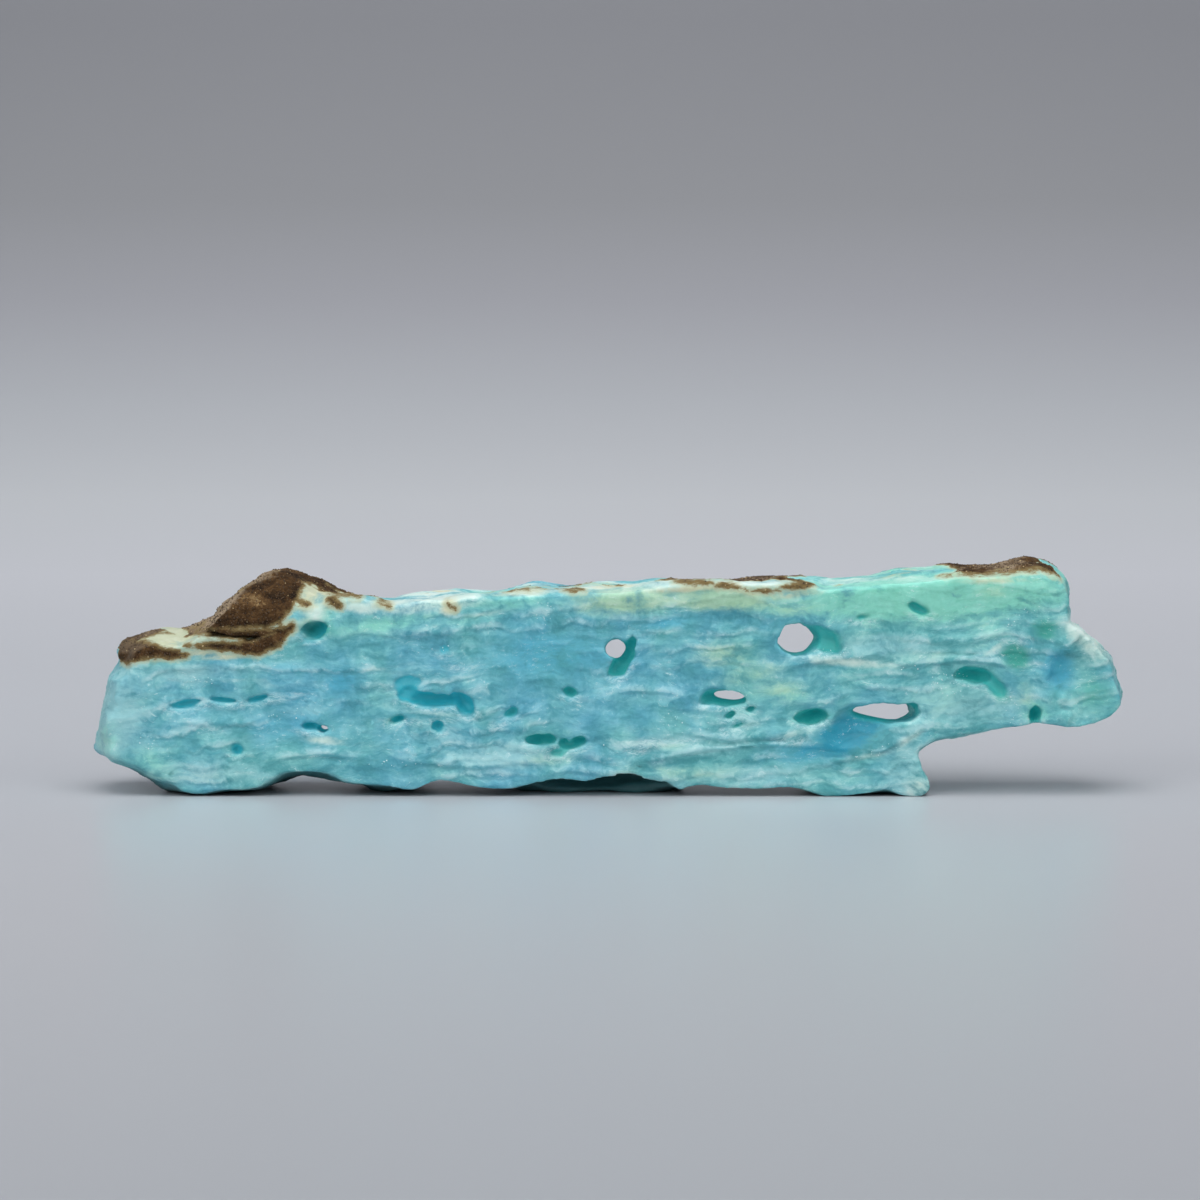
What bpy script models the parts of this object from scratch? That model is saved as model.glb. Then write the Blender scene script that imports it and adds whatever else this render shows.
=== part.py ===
"""A sawn slab of blue aragonite, standing on its long natural edge.

One stone, so one solid. X runs along the slab, Y from its sawn front to its back, Z up.
The origin is the middle of the footprint, on the surface that the slab stands on.
Points and sizes of the forms are in millimetres, seen from the front, and MM turns them to metres.
"""

import math

import bmesh
import bpy
import numpy as np
from mathutils import Matrix, Vector, noise

MM = 0.001

# Driving dimensions, in millimetres
SLAB_DEPTH = 20.0
FRONT = -SLAB_DEPTH / 2
BACK = SLAB_DEPTH / 2
LEFT_SLANT = 8.0
KNOB_SLANT = 4.0
BACK_SLANT = 2.0
EDGE_ROUND = 0.5
REMESH_STEP = 0.5
MOST_TRIANGLES = 9400

# The top edge from left to right: crust toe, hump of crust, long slope, right-hand knoll
TOP = [
    (-73.2, 21.4), (-70.6, 23.0), (-66.4, 23.7), (-62.9, 23.6), (-60.8, 25.0), (-58.2, 26.6),
    (-56.0, 29.0), (-53.5, 31.2), (-51.0, 32.6), (-48.5, 33.2), (-45.8, 32.6), (-42.6, 31.0),
    (-39.5, 29.5), (-35.2, 29.0), (-32.4, 28.4), (-27.3, 29.5), (-15.6, 30.2), (-8.9, 31.0),
    (-1.0, 31.1), (6.0, 31.7), (14.4, 32.1), (19.7, 31.5), (29.5, 32.1), (32.0, 31.4),
    (37.5, 31.7), (43.9, 32.9), (52.6, 33.0), (57.6, 33.3), (60.0, 34.3), (63.0, 34.9),
    (65.8, 34.0), (67.6, 32.5),
]
# The right end, downwards: a straight break, then a knob that stands out below it
RIGHT_END = [
    (68.4, 30.0), (69.0, 26.4), (71.2, 24.9), (73.8, 22.6), (75.6, 20.3), (76.1, 17.6),
    (76.6, 14.6), (75.8, 12.6), (72.8, 11.2),
]
# The underside from right to left: x, height at the front and height at the back
UNDERSIDE = [
    (68.0, 10.3, 10.8), (62.0, 10.4, 10.6), (57.4, 9.3, 10.2), (51.5, 9.0, 9.6),
    (47.8, 8.2, 8.6), (46.0, 7.0, 7.2), (45.5, 5.6, 5.0), (46.2, 3.4, 2.6), (47.3, 1.4, 0.6),
    (46.0, -0.1, -0.3), (43.6, 0.1, -0.5), (41.4, 0.9, -0.5), (38.0, 0.0, -0.5),
    (32.2, -0.2, -0.4), (29.6, 0.8, 1.6), (26.0, 1.4, 2.8), (20.0, 1.9, 3.2), (12.6, 1.9, 2.6),
    (10.6, 0.9, 0.8), (8.6, 1.9, -0.5), (4.2, 1.7, -0.5), (-4.2, 1.7, -0.5),
    (-10.6, 2.4, -0.4), (-16.8, 1.8, 1.2), (-24.7, 2.1, 2.0), (-28.8, 1.2, 0.4),
    (-33.7, 1.1, -0.2), (-38.0, 2.5, 1.3), (-42.0, 3.9, 2.0), (-46.4, 3.9, 2.2),
    (-50.5, 2.4, 0.6), (-55.0, 1.3, -0.5), (-60.6, 0.4, -0.5), (-65.0, 1.8, 0.2),
    (-69.5, 3.6, 3.0),
]
# The left end, upwards
LEFT_END = [(-75.0, 5.6), (-76.5, 7.6), (-76.2, 12.0), (-75.3, 17.0), (-74.2, 19.8)]

# Channels right through the slab, each x, z, half width, half height at its mouth in the front face,
# at the throat a little behind that, and at its wider exit at the back
CHANNELS = {
    "round_window": ((28.3, 23.4, 3.5, 2.5), (27.8, 23.3, 2.8, 1.9), (27.4, 21.8, 4.4, 3.4)),
    "low_window": ((17.0, 14.5, 3.5, 1.3), (18.0, 14.7, 2.6, 0.9), (19.0, 13.4, 4.0, 2.2)),
    "long_window": ((41.0, 12.5, 5.2, 1.5), (40.6, 12.4, 4.6, 1.25), (40.4, 11.2, 5.4, 2.3)),
    "boot_window": ((1.2, 21.9, 1.7, 1.6), (1.0, 21.6, 1.5, 1.4), (0.6, 20.4, 2.6, 2.4)),
    "pin_window": ((-42.0, 10.0, 0.9, 0.7), (-42.0, 9.9, 0.8, 0.6), (-42.4, 8.8, 1.8, 1.5)),
}
THROAT_DEPTH = 4.0
# Hollows in the front: x, z, half length, half height, depth, turn in degrees
FRONT_PITS = {
    "hump_pit": (-43.2, 24.5, 2.1, 1.3, 3.0, 20),
    "hump_crevice": (-56.7, 23.8, 5.0, 0.55, 3.0, -1),
    "hump_crevice_knee": (-52.3, 23.4, 1.7, 0.65, 2.4, 10),
    "hump_eye": (-48.5, 24.3, 0.8, 0.5, 1.5, 8),
    "left_slot": (-62.0, 13.8, 2.7, 0.6, 2.2, 8),
    "left_slot_arc": (-56.7, 14.1, 2.6, 0.55, 2.0, -4),
    "left_slot_end": (-51.5, 14.5, 2.0, 0.6, 2.0, 15),
    "left_dot": (-54.7, 6.9, 1.0, 0.75, 1.8, -5),
    "pin_pit": (-43.9, 10.3, 1.6, 0.65, 2.4, 0),
    "cave_left": (-29.5, 15.1, 2.0, 1.3, 2.6, 0),
    "cave_middle": (-25.9, 14.2, 4.4, 1.0, 3.0, -2),
    "cave_right": (-21.3, 13.6, 2.5, 1.2, 3.2, -60),
    "cave_foot_slot": (-31.0, 11.4, 1.4, 0.6, 1.8, 14),
    "cave_foot_dot": (-25.0, 10.4, 1.0, 0.9, 1.6, -25),
    "upper_dot": (-24.3, 21.6, 1.2, 0.7, 1.5, -10),
    "upper_slit": (-21.2, 19.6, 1.1, 0.4, 0.8, 5),
    "middle_dot": (-14.3, 12.5, 1.2, 0.8, 1.9, 38),
    "middle_tail": (-15.9, 11.2, 1.1, 0.45, 0.9, 42),
    "twin_left": (-10.0, 8.5, 2.3, 0.95, 3.2, 0),
    "twin_right": (-5.5, 7.8, 2.1, 0.85, 3.0, 8),
    "twin_trough": (-7.3, 6.6, 1.5, 0.8, 1.0, 15),
    "small_eye": (-5.6, 15.4, 1.2, 0.6, 1.9, 0),
    "boot_leg": (2.3, 20.3, 3.3, 1.2, 3.6, 62),
    "round_tail": (31.9, 23.0, 3.1, 1.8, 2.0, -30),
    "low_bay": (14.9, 14.4, 1.6, 1.2, 3.0, 0),
    "low_dot": (17.8, 12.1, 1.1, 0.6, 1.3, 18),
    "low_drop": (20.9, 12.9, 0.9, 0.5, 1.3, 25),
    "low_dimple": (19.0, 10.4, 1.4, 0.5, 0.8, 24),
    "right_crack": (9.75, 8.7, 2.8, 0.45, 1.1, 10),
    "dark_eye": (29.8, 11.7, 2.6, 1.0, 3.2, 4),
    "dark_eye_slit": (26.5, 8.8, 1.1, 0.4, 1.0, -8),
    "long_bay": (44.7, 12.8, 1.3, 1.0, 4.0, 40),
    "long_scoop": (36.8, 10.2, 4.6, 3.1, 2.4, 15),
    "upper_right_dent": (45.5, 27.7, 1.9, 0.9, 1.4, -25),
    "upper_right_dimple": (37.3, 26.4, 1.3, 0.5, 0.8, 8),
    "crescent": (53.7, 18.0, 2.4, 0.95, 2.6, -8),
    "crescent_slope": (57.1, 16.1, 2.2, 1.1, 1.1, -40),
    "edge_hole": (62.8, 12.0, 1.0, 1.4, 3.6, 0),
    "green_dish": (59.9, 20.8, 2.5, 2.1, 0.8, -30),
    "green_dish_upper": (63.7, 24.2, 2.3, 1.7, 0.6, 20),
    "arc_groove": (59.2, 23.6, 1.3, 0.45, 0.8, -5),
    "knob_step": (69.8, 18.2, 4.8, 4.2, 2.6, -20),
    "foot_cave": (-1.8, 0.5, 11.8, 2.4, 8.5, 0),
}
# How far a hollow climbs for each millimetre that it goes in, as water undercut the layers
PIT_CLIMB = 0.3
# Hollows in the back, which the front view doesn't show, in the same words
BACK_PITS = {
    "back_cave": (-52.0, 13.0, 4.4, 1.8, 4.5, 8),
    "back_cave_dot": (-45.6, 14.6, 1.5, 1.0, 2.4, 0),
    "back_slot": (-31.0, 19.6, 3.6, 0.9, 2.6, 6),
    "back_eye": (-15.5, 22.0, 2.2, 1.4, 4.0, -14),
    "back_dot": (-10.2, 10.4, 1.3, 1.0, 2.2, 20),
    "back_twin": (-6.4, 11.2, 2.0, 0.9, 2.6, 10),
    "back_bay": (8.8, 25.6, 2.8, 1.2, 3.0, 12),
    "back_groove": (30.6, 15.4, 3.4, 0.8, 1.8, -6),
    "back_bowl": (55.0, 22.6, 3.2, 2.2, 4.2, 18),
    "back_drop": (61.6, 16.2, 1.5, 1.0, 2.4, -30),
    "back_left_eye": (-66.0, 16.8, 1.6, 1.0, 2.0, -20),
}


def clear_scene():
    for obj in list(bpy.data.objects):
        bpy.data.objects.remove(obj)


def smoothstep(low, high, value):
    share = min(max((value - low) / (high - low), 0.0), 1.0)
    return share * share * (3 - 2 * share)


def fair_loop(points, steps):
    """A closed Catmull-Rom curve through the points, with that many steps from each to the next."""
    count = len(points)
    curve = []
    for i in range(count):
        before, here, after, beyond = (Vector(points[(i + k) % count]) for k in (-1, 0, 1, 2))
        for step in range(steps):
            t = step / steps
            curve.append(
                0.5 * (2 * here + (after - before) * t
                       + (2 * before - 5 * here + 4 * after - beyond) * t * t
                       + (3 * here - before - 3 * after + beyond) * t ** 3)
            )
    return curve


def outline_at(share):
    """The slab's outline at a depth: share is 0 at the sawn front and 1 at the back."""
    toward_front = 1 - smoothstep(-0.35, 0.4, share)
    crown_drop = 0.9 * (1 - share) ** 2 + 1.5 * smoothstep(0.55, 1.0, share)
    blend = smoothstep(0.0, 0.45, share)
    top = [(x, z - crown_drop) for x, z in TOP]
    under = [(x, front * (1 - blend) + back * blend) for x, front, back in UNDERSIDE]
    outline = []
    for x, z in top + RIGHT_END + under + LEFT_END:
        x += (LEFT_SLANT * toward_front + BACK_SLANT * share ** 3) * smoothstep(-60, -76, x)
        x -= (KNOB_SLANT * toward_front + BACK_SLANT * share ** 3) * smoothstep(62, 74, x)
        outline.append((x, z))
    return outline


def inset_loop(loop, distance):
    """The loop moved inwards, which is to its right because it runs clockwise."""
    count = len(loop)
    moved = []
    for i, point in enumerate(loop):
        along = (loop[(i + 1) % count] - loop[i - 1]).normalized()
        moved.append(point + distance * Vector((along.y, -along.x)))
    return moved


def slab_blank():
    """The stone before its hollows: outlines from front to back, bridged and closed."""
    edge = EDGE_ROUND / SLAB_DEPTH
    stations = [(0.0, EDGE_ROUND), (0.4 * edge, 0.4 * EDGE_ROUND), (edge, 0.0), (0.2, 0.0),
                (0.4, 0.0), (0.6, 0.0), (0.8, 0.0), (1 - edge, 0.0), (1.0, EDGE_ROUND)]
    bm = bmesh.new()
    rings = []
    for share, inset in stations:
        y = FRONT + SLAB_DEPTH * share
        loop = inset_loop(fair_loop(outline_at(share), 3), inset)
        verts = [bm.verts.new((p.x * MM, y * MM, p.y * MM)) for p in loop]
        rings.append([bm.edges.new((verts[i - 1], verts[i])) for i in range(len(verts))])
    for near, far in zip(rings, rings[1:]):
        bmesh.ops.bridge_loops(bm, edges=near + far)
    for ring in (rings[0], rings[-1]):
        bmesh.ops.triangle_fill(bm, edges=ring, use_beauty=True)
    bmesh.ops.recalc_face_normals(bm, faces=bm.faces)
    mesh = bpy.data.meshes.new("slab_blank")
    bm.to_mesh(mesh)
    bm.free()
    return mesh


def cutter_object(name, bm, cutters):
    bmesh.ops.recalc_face_normals(bm, faces=bm.faces)
    mesh = bpy.data.meshes.new(name)
    bm.to_mesh(mesh)
    bm.free()
    cutter = bpy.data.objects.new(name, mesh)
    cutter.hide_render = True
    cutter.display_type = "WIRE"
    cutters.objects.link(cutter)


def pit(name, form, face, cutters):
    """A hollow: a ball squashed to the form, with its middle on the slab's face, that climbs inwards."""
    x, z, half_length, half_height, depth, turn = form
    bm = bmesh.new()
    bmesh.ops.create_icosphere(bm, subdivisions=3, radius=1.0)
    climb = Matrix.Identity(4)
    climb[2][1] = PIT_CLIMB if face == FRONT else -PIT_CLIMB
    place = (Matrix.Translation(Vector((x, face, z)) * MM)
             @ climb
             @ Matrix.Rotation(-math.radians(turn), 4, "Y")
             @ Matrix.Diagonal((half_length * MM, depth * MM, half_height * MM, 1)))
    bmesh.ops.transform(bm, matrix=place, verts=bm.verts)
    cutter_object(name, bm, cutters)


def channel(name, mouth, throat, exit_, cutters):
    """A hole through the slab, from an oval mouth in front through a throat to a wider one at the back."""
    corners = 20
    reach = 2.0
    bm = bmesh.new()
    rings = []
    for oval, y in ((mouth, FRONT - reach), (mouth, FRONT), (throat, FRONT + THROAT_DEPTH),
                    (exit_, BACK), (exit_, BACK + reach)):
        x, z, half_width, half_height = oval
        verts = []
        for i in range(corners):
            angle = math.tau * i / corners
            spot = (x + half_width * math.cos(angle), y, z + half_height * math.sin(angle))
            verts.append(bm.verts.new(Vector(spot) * MM))
        rings.append([bm.edges.new((verts[i - 1], verts[i])) for i in range(corners)])
    for near, far in zip(rings, rings[1:]):
        bmesh.ops.bridge_loops(bm, edges=near + far)
    for ring in (rings[0], rings[-1]):
        bmesh.ops.triangle_fill(bm, edges=ring, use_beauty=True)
    cutter_object(name, bm, cutters)


def carved(mesh):
    """The blank with every hollow and channel cut, then remeshed to an even grid."""
    cutters = bpy.data.collections.new("hollows")
    bpy.context.scene.collection.children.link(cutters)
    for name, (mouth, throat, exit_) in CHANNELS.items():
        channel(name, mouth, throat, exit_, cutters)
    for name, form in FRONT_PITS.items():
        pit(name, form, FRONT, cutters)
    for name, form in BACK_PITS.items():
        pit(name, form, BACK, cutters)
    blank = bpy.data.objects.new("blank", mesh)
    bpy.context.scene.collection.objects.link(blank)
    cut = blank.modifiers.new("hollows", "BOOLEAN")
    cut.operation = "DIFFERENCE"
    cut.operand_type = "COLLECTION"
    cut.collection = cutters
    even = blank.modifiers.new("even_grid", "REMESH")
    even.mode = "VOXEL"
    even.voxel_size = REMESH_STEP * MM
    soft = blank.modifiers.new("worn", "SMOOTH")
    soft.iterations = 2
    bpy.context.view_layer.update()
    graph = bpy.context.evaluated_depsgraph_get()
    result = bpy.data.meshes.new_from_object(blank.evaluated_get(graph))
    bpy.data.objects.remove(blank)
    for cutter in list(cutters.objects):
        bpy.data.objects.remove(cutter)
    bpy.data.collections.remove(cutters)
    return result


def bedding(point):
    """Height across the layers, in millimetres: they rise to the right and wander."""
    drift = noise.noise(Vector((point.x / 34, point.y / 26, point.z / 16)))
    ripple = noise.noise(Vector((point.x / 8 + 7, point.y / 12, point.z / 6)))
    return point.z - 0.05 * point.x + 2.6 * drift + 1.6 * ripple


def relief(point, normal):
    """How far the surface stands proud or sinks here, in millimetres."""
    layer = bedding(point)
    band = noise.noise(Vector((point.x / 22, point.y / 22, layer / 1.7)))
    lump = noise.noise(Vector((point.x / 6, point.y / 5, point.z / 3.6)) + Vector((3, 5, 9)))
    coarse = noise.noise(Vector((point.x / 13, point.y / 9, point.z / 9)) + Vector((1, 8, 2)))
    sawn = smoothstep(0.6, 0.95, abs(normal.y))
    on_sawn_face = 0.2 * band + 0.16 * lump
    on_natural_face = 0.5 * band + 0.9 * lump + 0.8 * coarse
    return on_sawn_face * sawn + on_natural_face * (1 - sawn)


def crown_thinning(point):
    """How much of its depth the crust keeps at a point: the hump and the knoll narrow upwards."""
    over_hump = smoothstep(-63, -56, point.x) * smoothstep(-38, -43, point.x)
    over_knoll = smoothstep(56, 60, point.x)
    rise = max(over_hump * smoothstep(25, 35, point.z), over_knoll * smoothstep(31.5, 36, point.z))
    return 1 - 0.5 * rise


def weathered(mesh):
    """Moves each point of the even grid by the stone's relief."""
    normals = [Vector(n.vector) for n in mesh.vertex_normals]
    for vertex, normal in zip(mesh.vertices, normals):
        point = vertex.co / MM
        moved = point + normal * relief(point, normal)
        moved.y *= crown_thinning(moved)
        vertex.co = moved * MM
    mesh.update()
    return mesh


def drop_loose_crumbs(bm):
    """Keeps the stone, and deletes any crumb that levelling its feet has cut free of it."""
    unseen = set(bm.verts)
    bodies = []
    while unseen:
        body, front = set(), [unseen.pop()]
        while front:
            vertex = front.pop()
            body.add(vertex)
            for edge in vertex.link_edges:
                other = edge.other_vert(vertex)
                if other in unseen:
                    unseen.discard(other)
                    front.append(other)
        bodies.append(body)
    bodies.sort(key=len)
    for crumb in bodies[:-1]:
        bmesh.ops.delete(bm, geom=list(crumb), context="VERTS")


def stood_on_its_feet(mesh):
    """Wears the feet off level with the ground, and puts the origin under the stone's middle."""
    bm = bmesh.new()
    bm.from_mesh(mesh)
    cut = bmesh.ops.bisect_plane(
        bm, geom=bm.verts[:] + bm.edges[:] + bm.faces[:], plane_co=(0, 0, 0),
        plane_no=(0, 0, -1), clear_outer=True, dist=1e-7)
    edges = [e for e in cut["geom_cut"] if isinstance(e, bmesh.types.BMEdge)]
    bmesh.ops.edgeloop_fill(bm, edges=edges)
    drop_loose_crumbs(bm)
    bmesh.ops.triangulate(bm, faces=bm.faces)
    spots = np.array([v.co for v in bm.verts])
    low, high = spots.min(axis=0), spots.max(axis=0)
    bmesh.ops.translate(
        bm, verts=bm.verts, vec=(-(low[0] + high[0]) / 2, -(low[1] + high[1]) / 2, -low[2]))
    bmesh.ops.recalc_face_normals(bm, faces=bm.faces)
    bm.to_mesh(mesh)
    bm.free()
    return mesh


def simplified(mesh):
    """The same form in few enough triangles, small where it bends and large where it is flat."""
    fine = bpy.data.objects.new("fine", mesh)
    bpy.context.scene.collection.objects.link(fine)
    fewer = fine.modifiers.new("fewer", "DECIMATE")
    fewer.ratio = MOST_TRIANGLES / (2 * len(mesh.polygons))
    fewer.use_collapse_triangulate = True
    bpy.context.view_layer.update()
    graph = bpy.context.evaluated_depsgraph_get()
    result = bpy.data.meshes.new_from_object(fine.evaluated_get(graph))
    bpy.data.objects.remove(fine)
    return result


def aragonite_material():
    material = bpy.data.materials.new("blue_aragonite")
    material.use_nodes = True
    shader = material.node_tree.nodes["Principled BSDF"]
    shader.inputs["Base Color"].default_value = (0.22, 0.54, 0.60, 1)
    shader.inputs["Roughness"].default_value = 0.42
    shader.inputs["Metallic"].default_value = 0.0
    return material


def main():
    clear_scene()
    stone = weathered(carved(slab_blank()))
    stone = stood_on_its_feet(simplified(stone))
    stone.name = "aragonite_slab"
    slab = bpy.data.objects.new("aragonite_slab", stone)
    bpy.context.scene.collection.objects.link(slab)
    slab.data.materials.append(aragonite_material())
    stone.shade_smooth()
    stone.set_sharp_from_angle(angle=math.radians(50))


main()
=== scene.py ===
# %% [markdown]
# # A sawn slab of blue aragonite
# Blue aragonite grows in thin wavy layers that fill a cavity in the rock. This slab was sawn across
# those layers, so its two broad faces show them edge on, with the holes that water left between them.
# Its long edges are natural: the upper one still carries a crust of brown, iron-stained sand.
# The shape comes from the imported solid. What follows gives it a fine surface, its colours and its grains.

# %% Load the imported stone
import math

import bmesh
import bpy
import numpy as np
from mathutils import Matrix, Vector, noise


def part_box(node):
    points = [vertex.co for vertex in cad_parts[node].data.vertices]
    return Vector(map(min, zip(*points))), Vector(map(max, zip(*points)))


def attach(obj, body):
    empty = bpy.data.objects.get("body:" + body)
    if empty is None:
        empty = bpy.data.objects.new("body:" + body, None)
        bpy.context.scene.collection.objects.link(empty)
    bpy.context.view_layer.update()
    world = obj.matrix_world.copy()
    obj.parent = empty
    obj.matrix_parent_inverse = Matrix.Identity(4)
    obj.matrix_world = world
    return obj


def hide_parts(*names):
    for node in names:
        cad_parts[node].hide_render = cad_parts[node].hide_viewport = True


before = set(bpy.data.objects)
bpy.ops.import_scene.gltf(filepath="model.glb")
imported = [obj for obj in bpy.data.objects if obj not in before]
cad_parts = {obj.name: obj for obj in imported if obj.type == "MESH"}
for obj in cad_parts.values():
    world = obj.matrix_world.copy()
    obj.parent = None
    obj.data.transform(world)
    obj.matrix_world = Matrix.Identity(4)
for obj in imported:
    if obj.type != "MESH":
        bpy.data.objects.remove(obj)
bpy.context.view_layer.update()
MM = 0.001
SLAB = "aragonite_slab"
low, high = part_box(SLAB)
FRONT = -0.010
BACK = 0.010
print("slab", [round(side / MM, 1) for side in high - low], "mm")

# %% [markdown]
# ## Two helpers
# Colours are written as they look on a screen, in sRGB, and Blender counts in linear light, so one
# function turns one into the other. The other adds a node to a tree, of any kind, with its settings
# and links, which keeps each material and each Geometry Nodes tree down to one line a node.


# %% Helpers for colours and nodes
def colour(code):
    """Linear RGBA from an sRGB hex code."""
    shares = [int(code[i:i + 2], 16) / 255 for i in (1, 3, 5)]
    linear = [s / 12.92 if s <= 0.04045 else ((s + 0.055) / 1.055) ** 2.4 for s in shares]
    return (*linear, 1.0)


def add(tree, kind, inputs=None, stops=(), **settings):
    """Adds a node. inputs gives the node or socket that feeds each input, or its value.
    stops, from low to high, are the places and colours of a ramp."""
    node = tree.nodes.new(kind)
    for name, value in settings.items():
        setattr(node, name, value)
    for name, value in (inputs or {}).items():
        if isinstance(value, bpy.types.Node):
            value = value.outputs[0]
        if isinstance(value, bpy.types.NodeSocket):
            tree.links.new(value, node.inputs[name])
        else:
            node.inputs[name].default_value = value
    for number, (place, code) in enumerate(stops):
        elements = node.color_ramp.elements
        element = elements[number] if number < 2 else elements.new(place)
        element.position = place
        element.color = colour(code)
    return node


print("linear value of mid grey", round(colour("#808080")[0], 3))

# %% [markdown]
# ## The camera
# The slab was photographed from a little above its middle with a long lens, so it shows its face almost
# square on and a thin strip of its upper edge. The camera looks at a point on the slab's middle plane
# from the photograph's distance and angle, with no shift.

# %% Camera
LENS = 105.0
CAMERA_PITCH = math.radians(3.4)
CAMERA_DISTANCE = 0.5234
LOOK_AT = Vector((-0.00125, 0.0, 0.0284))

towards_camera = Vector((0.0, -math.cos(CAMERA_PITCH), math.sin(CAMERA_PITCH)))
camera = bpy.data.objects.new("camera", bpy.data.cameras.new("camera"))
camera.data.lens = LENS
camera.data.clip_start = 0.01
camera.location = LOOK_AT + towards_camera * CAMERA_DISTANCE
camera.rotation_euler = (-towards_camera).to_track_quat("-Z", "Y").to_euler()
bpy.context.scene.collection.objects.link(camera)
bpy.context.scene.camera = camera
print("camera height above the table", round(camera.location.z / MM, 1), "mm")

# %% [markdown]
# ## The table and backdrop
# A sheet of pale card that lies flat under the stone and curves up behind it has no corner to cast a
# line. One profile, swept sideways, makes it. The fall-off of the light over the card is painted into its
# colour
# as a soft gradient: brightest just behind the stone and darker both towards the camera and up the wall.
# Each point remembers how far along the card it lies, and the gradient follows that.

# %% Backdrop
CARD_FRONT = -1.4
CARD_FLAT_TO = 0.25
CARD_BEND = 0.45
CARD_TOP = 1.3
CARD_HALF_WIDTH = 1.8
BEND_STEPS = 24


def card_profile():
    """Points of the card, each its y, its z and how far along the card it lies from under the stone."""
    points = [(CARD_FRONT, 0.0, CARD_FRONT)]
    for step in range(BEND_STEPS + 1):
        turn = math.pi / 2 * step / BEND_STEPS
        points.append((CARD_FLAT_TO + CARD_BEND * math.sin(turn), CARD_BEND * (1 - math.cos(turn)),
                       CARD_FLAT_TO + CARD_BEND * turn))
    last = points[-1]
    points.append((last[0], CARD_TOP, last[2] + CARD_TOP - last[1]))
    return points


def backdrop():
    profile = card_profile()
    corners = [(side * CARD_HALF_WIDTH, y, z) for y, z, along in profile for side in (-1, 1)]
    faces = [(i, i + 1, i + 3, i + 2) for i in range(0, 2 * len(profile) - 2, 2)]
    mesh = bpy.data.meshes.new("backdrop")
    mesh.from_pydata(corners, [], faces)
    mesh.shade_smooth()
    places = mesh.attributes.new("along", "FLOAT", "POINT")
    places.data.foreach_set("value", [along for y, z, along in profile for side in (-1, 1)])
    card = bpy.data.objects.new("backdrop", mesh)
    bpy.context.scene.collection.objects.link(card)
    return card


card = backdrop()
print("backdrop faces", len(card.data.polygons))

# %% Card material
# Painted light: the card's tones fall off from just behind the stone towards the camera and up the wall.
CARD_LIGHT_FALLOFF = [(0.03, "#a7aaaf"), (0.16, "#b5b7bc"), (0.34, "#c5c8ce"), (0.50, "#d4d7dd"), (0.66, "#e1e3e9"),
              (0.7165, "#dadde1"), (0.78, "#c6c9ce"), (0.8335, "#b3b4ba"), (0.883, "#a4a5a9"),
              (0.965, "#999a9f")]


def grey_card():
    """Pale card with a weak gloss, which gives the soft reflection under the stone, and a painted gradient of
    light in its colour.
    """
    material = bpy.data.materials.new("grey_card")
    material.use_nodes = True
    tree = material.node_tree
    shader = tree.nodes["Principled BSDF"]
    along = add(tree, "ShaderNodeAttribute", attribute_name="along").outputs["Fac"]
    share = add(tree, "ShaderNodeMapRange", {"Value": along, "From Min": -0.30, "From Max": 0.70})
    tone = add(tree, "ShaderNodeValToRGB", {"Fac": share}, CARD_LIGHT_FALLOFF)
    tree.links.new(tone.outputs["Color"], shader.inputs["Base Color"])
    shader.inputs["Roughness"].default_value = 0.3
    shader.inputs["Specular IOR Level"].default_value = 0.6
    return material


card.data.materials.append(grey_card())
print("card tones", len(CARD_LIGHT_FALLOFF))

# %% [markdown]
# ## The light
# A broad softbox hangs over the slab, a little in front of it, so the upper lips of ledges and holes
# catch the light and their roofs go dark. Two weaker panels at the front keep the face even, and one
# behind the slab lights the backdrop alone.

# %% Lights
SOFTBOXES = {  # place, width, power in watts
    "overhead": ((0.0, -0.22, 0.60), 0.60, 3.0),
    "front_left": ((-0.55, -0.75, 0.50), 0.50, 2.7),
    "front_right": ((0.70, -0.70, 0.45), 0.50, 1.8),
    "background": ((0.0, 0.05, 0.75), 0.80, 1.0),
}
AMBIENT = 0.27
BACKDROP_AIM = Vector((0.0, 0.7, 0.1))


def softbox(name, place, width, power):
    lamp = bpy.data.lights.new(name, "AREA")
    lamp.size = width
    lamp.energy = power
    holder = bpy.data.objects.new(name, lamp)
    holder.location = place
    aim = LOOK_AT if place[1] < 0 else BACKDROP_AIM
    holder.rotation_euler = (aim - Vector(place)).to_track_quat("-Z", "Y").to_euler()
    bpy.context.scene.collection.objects.link(holder)


for name, (place, width, power) in SOFTBOXES.items():
    softbox(name, place, width, power)
world = bpy.data.worlds.new("studio")
world.use_nodes = True
world.node_tree.nodes["Background"].inputs["Color"].default_value = colour("#e9eef6")
world.node_tree.nodes["Background"].inputs["Strength"].default_value = AMBIENT
bpy.context.scene.world = world
bpy.context.scene.view_settings.view_transform = "Standard"
print("lights", len(SOFTBOXES))

# %% [markdown]
# ## A rounded copy of the stone
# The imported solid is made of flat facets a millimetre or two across. A copy of it, subdivided, has
# the same form with its facets rounded off. The arrises where a sawn face meets a natural edge are
# creased first, and the outermost millimetre under each face is then squeezed, so they stay nearly as
# sharp as the saw left them. Both ends are then moved by up to 1.5 mm to follow the real outline.

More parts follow.
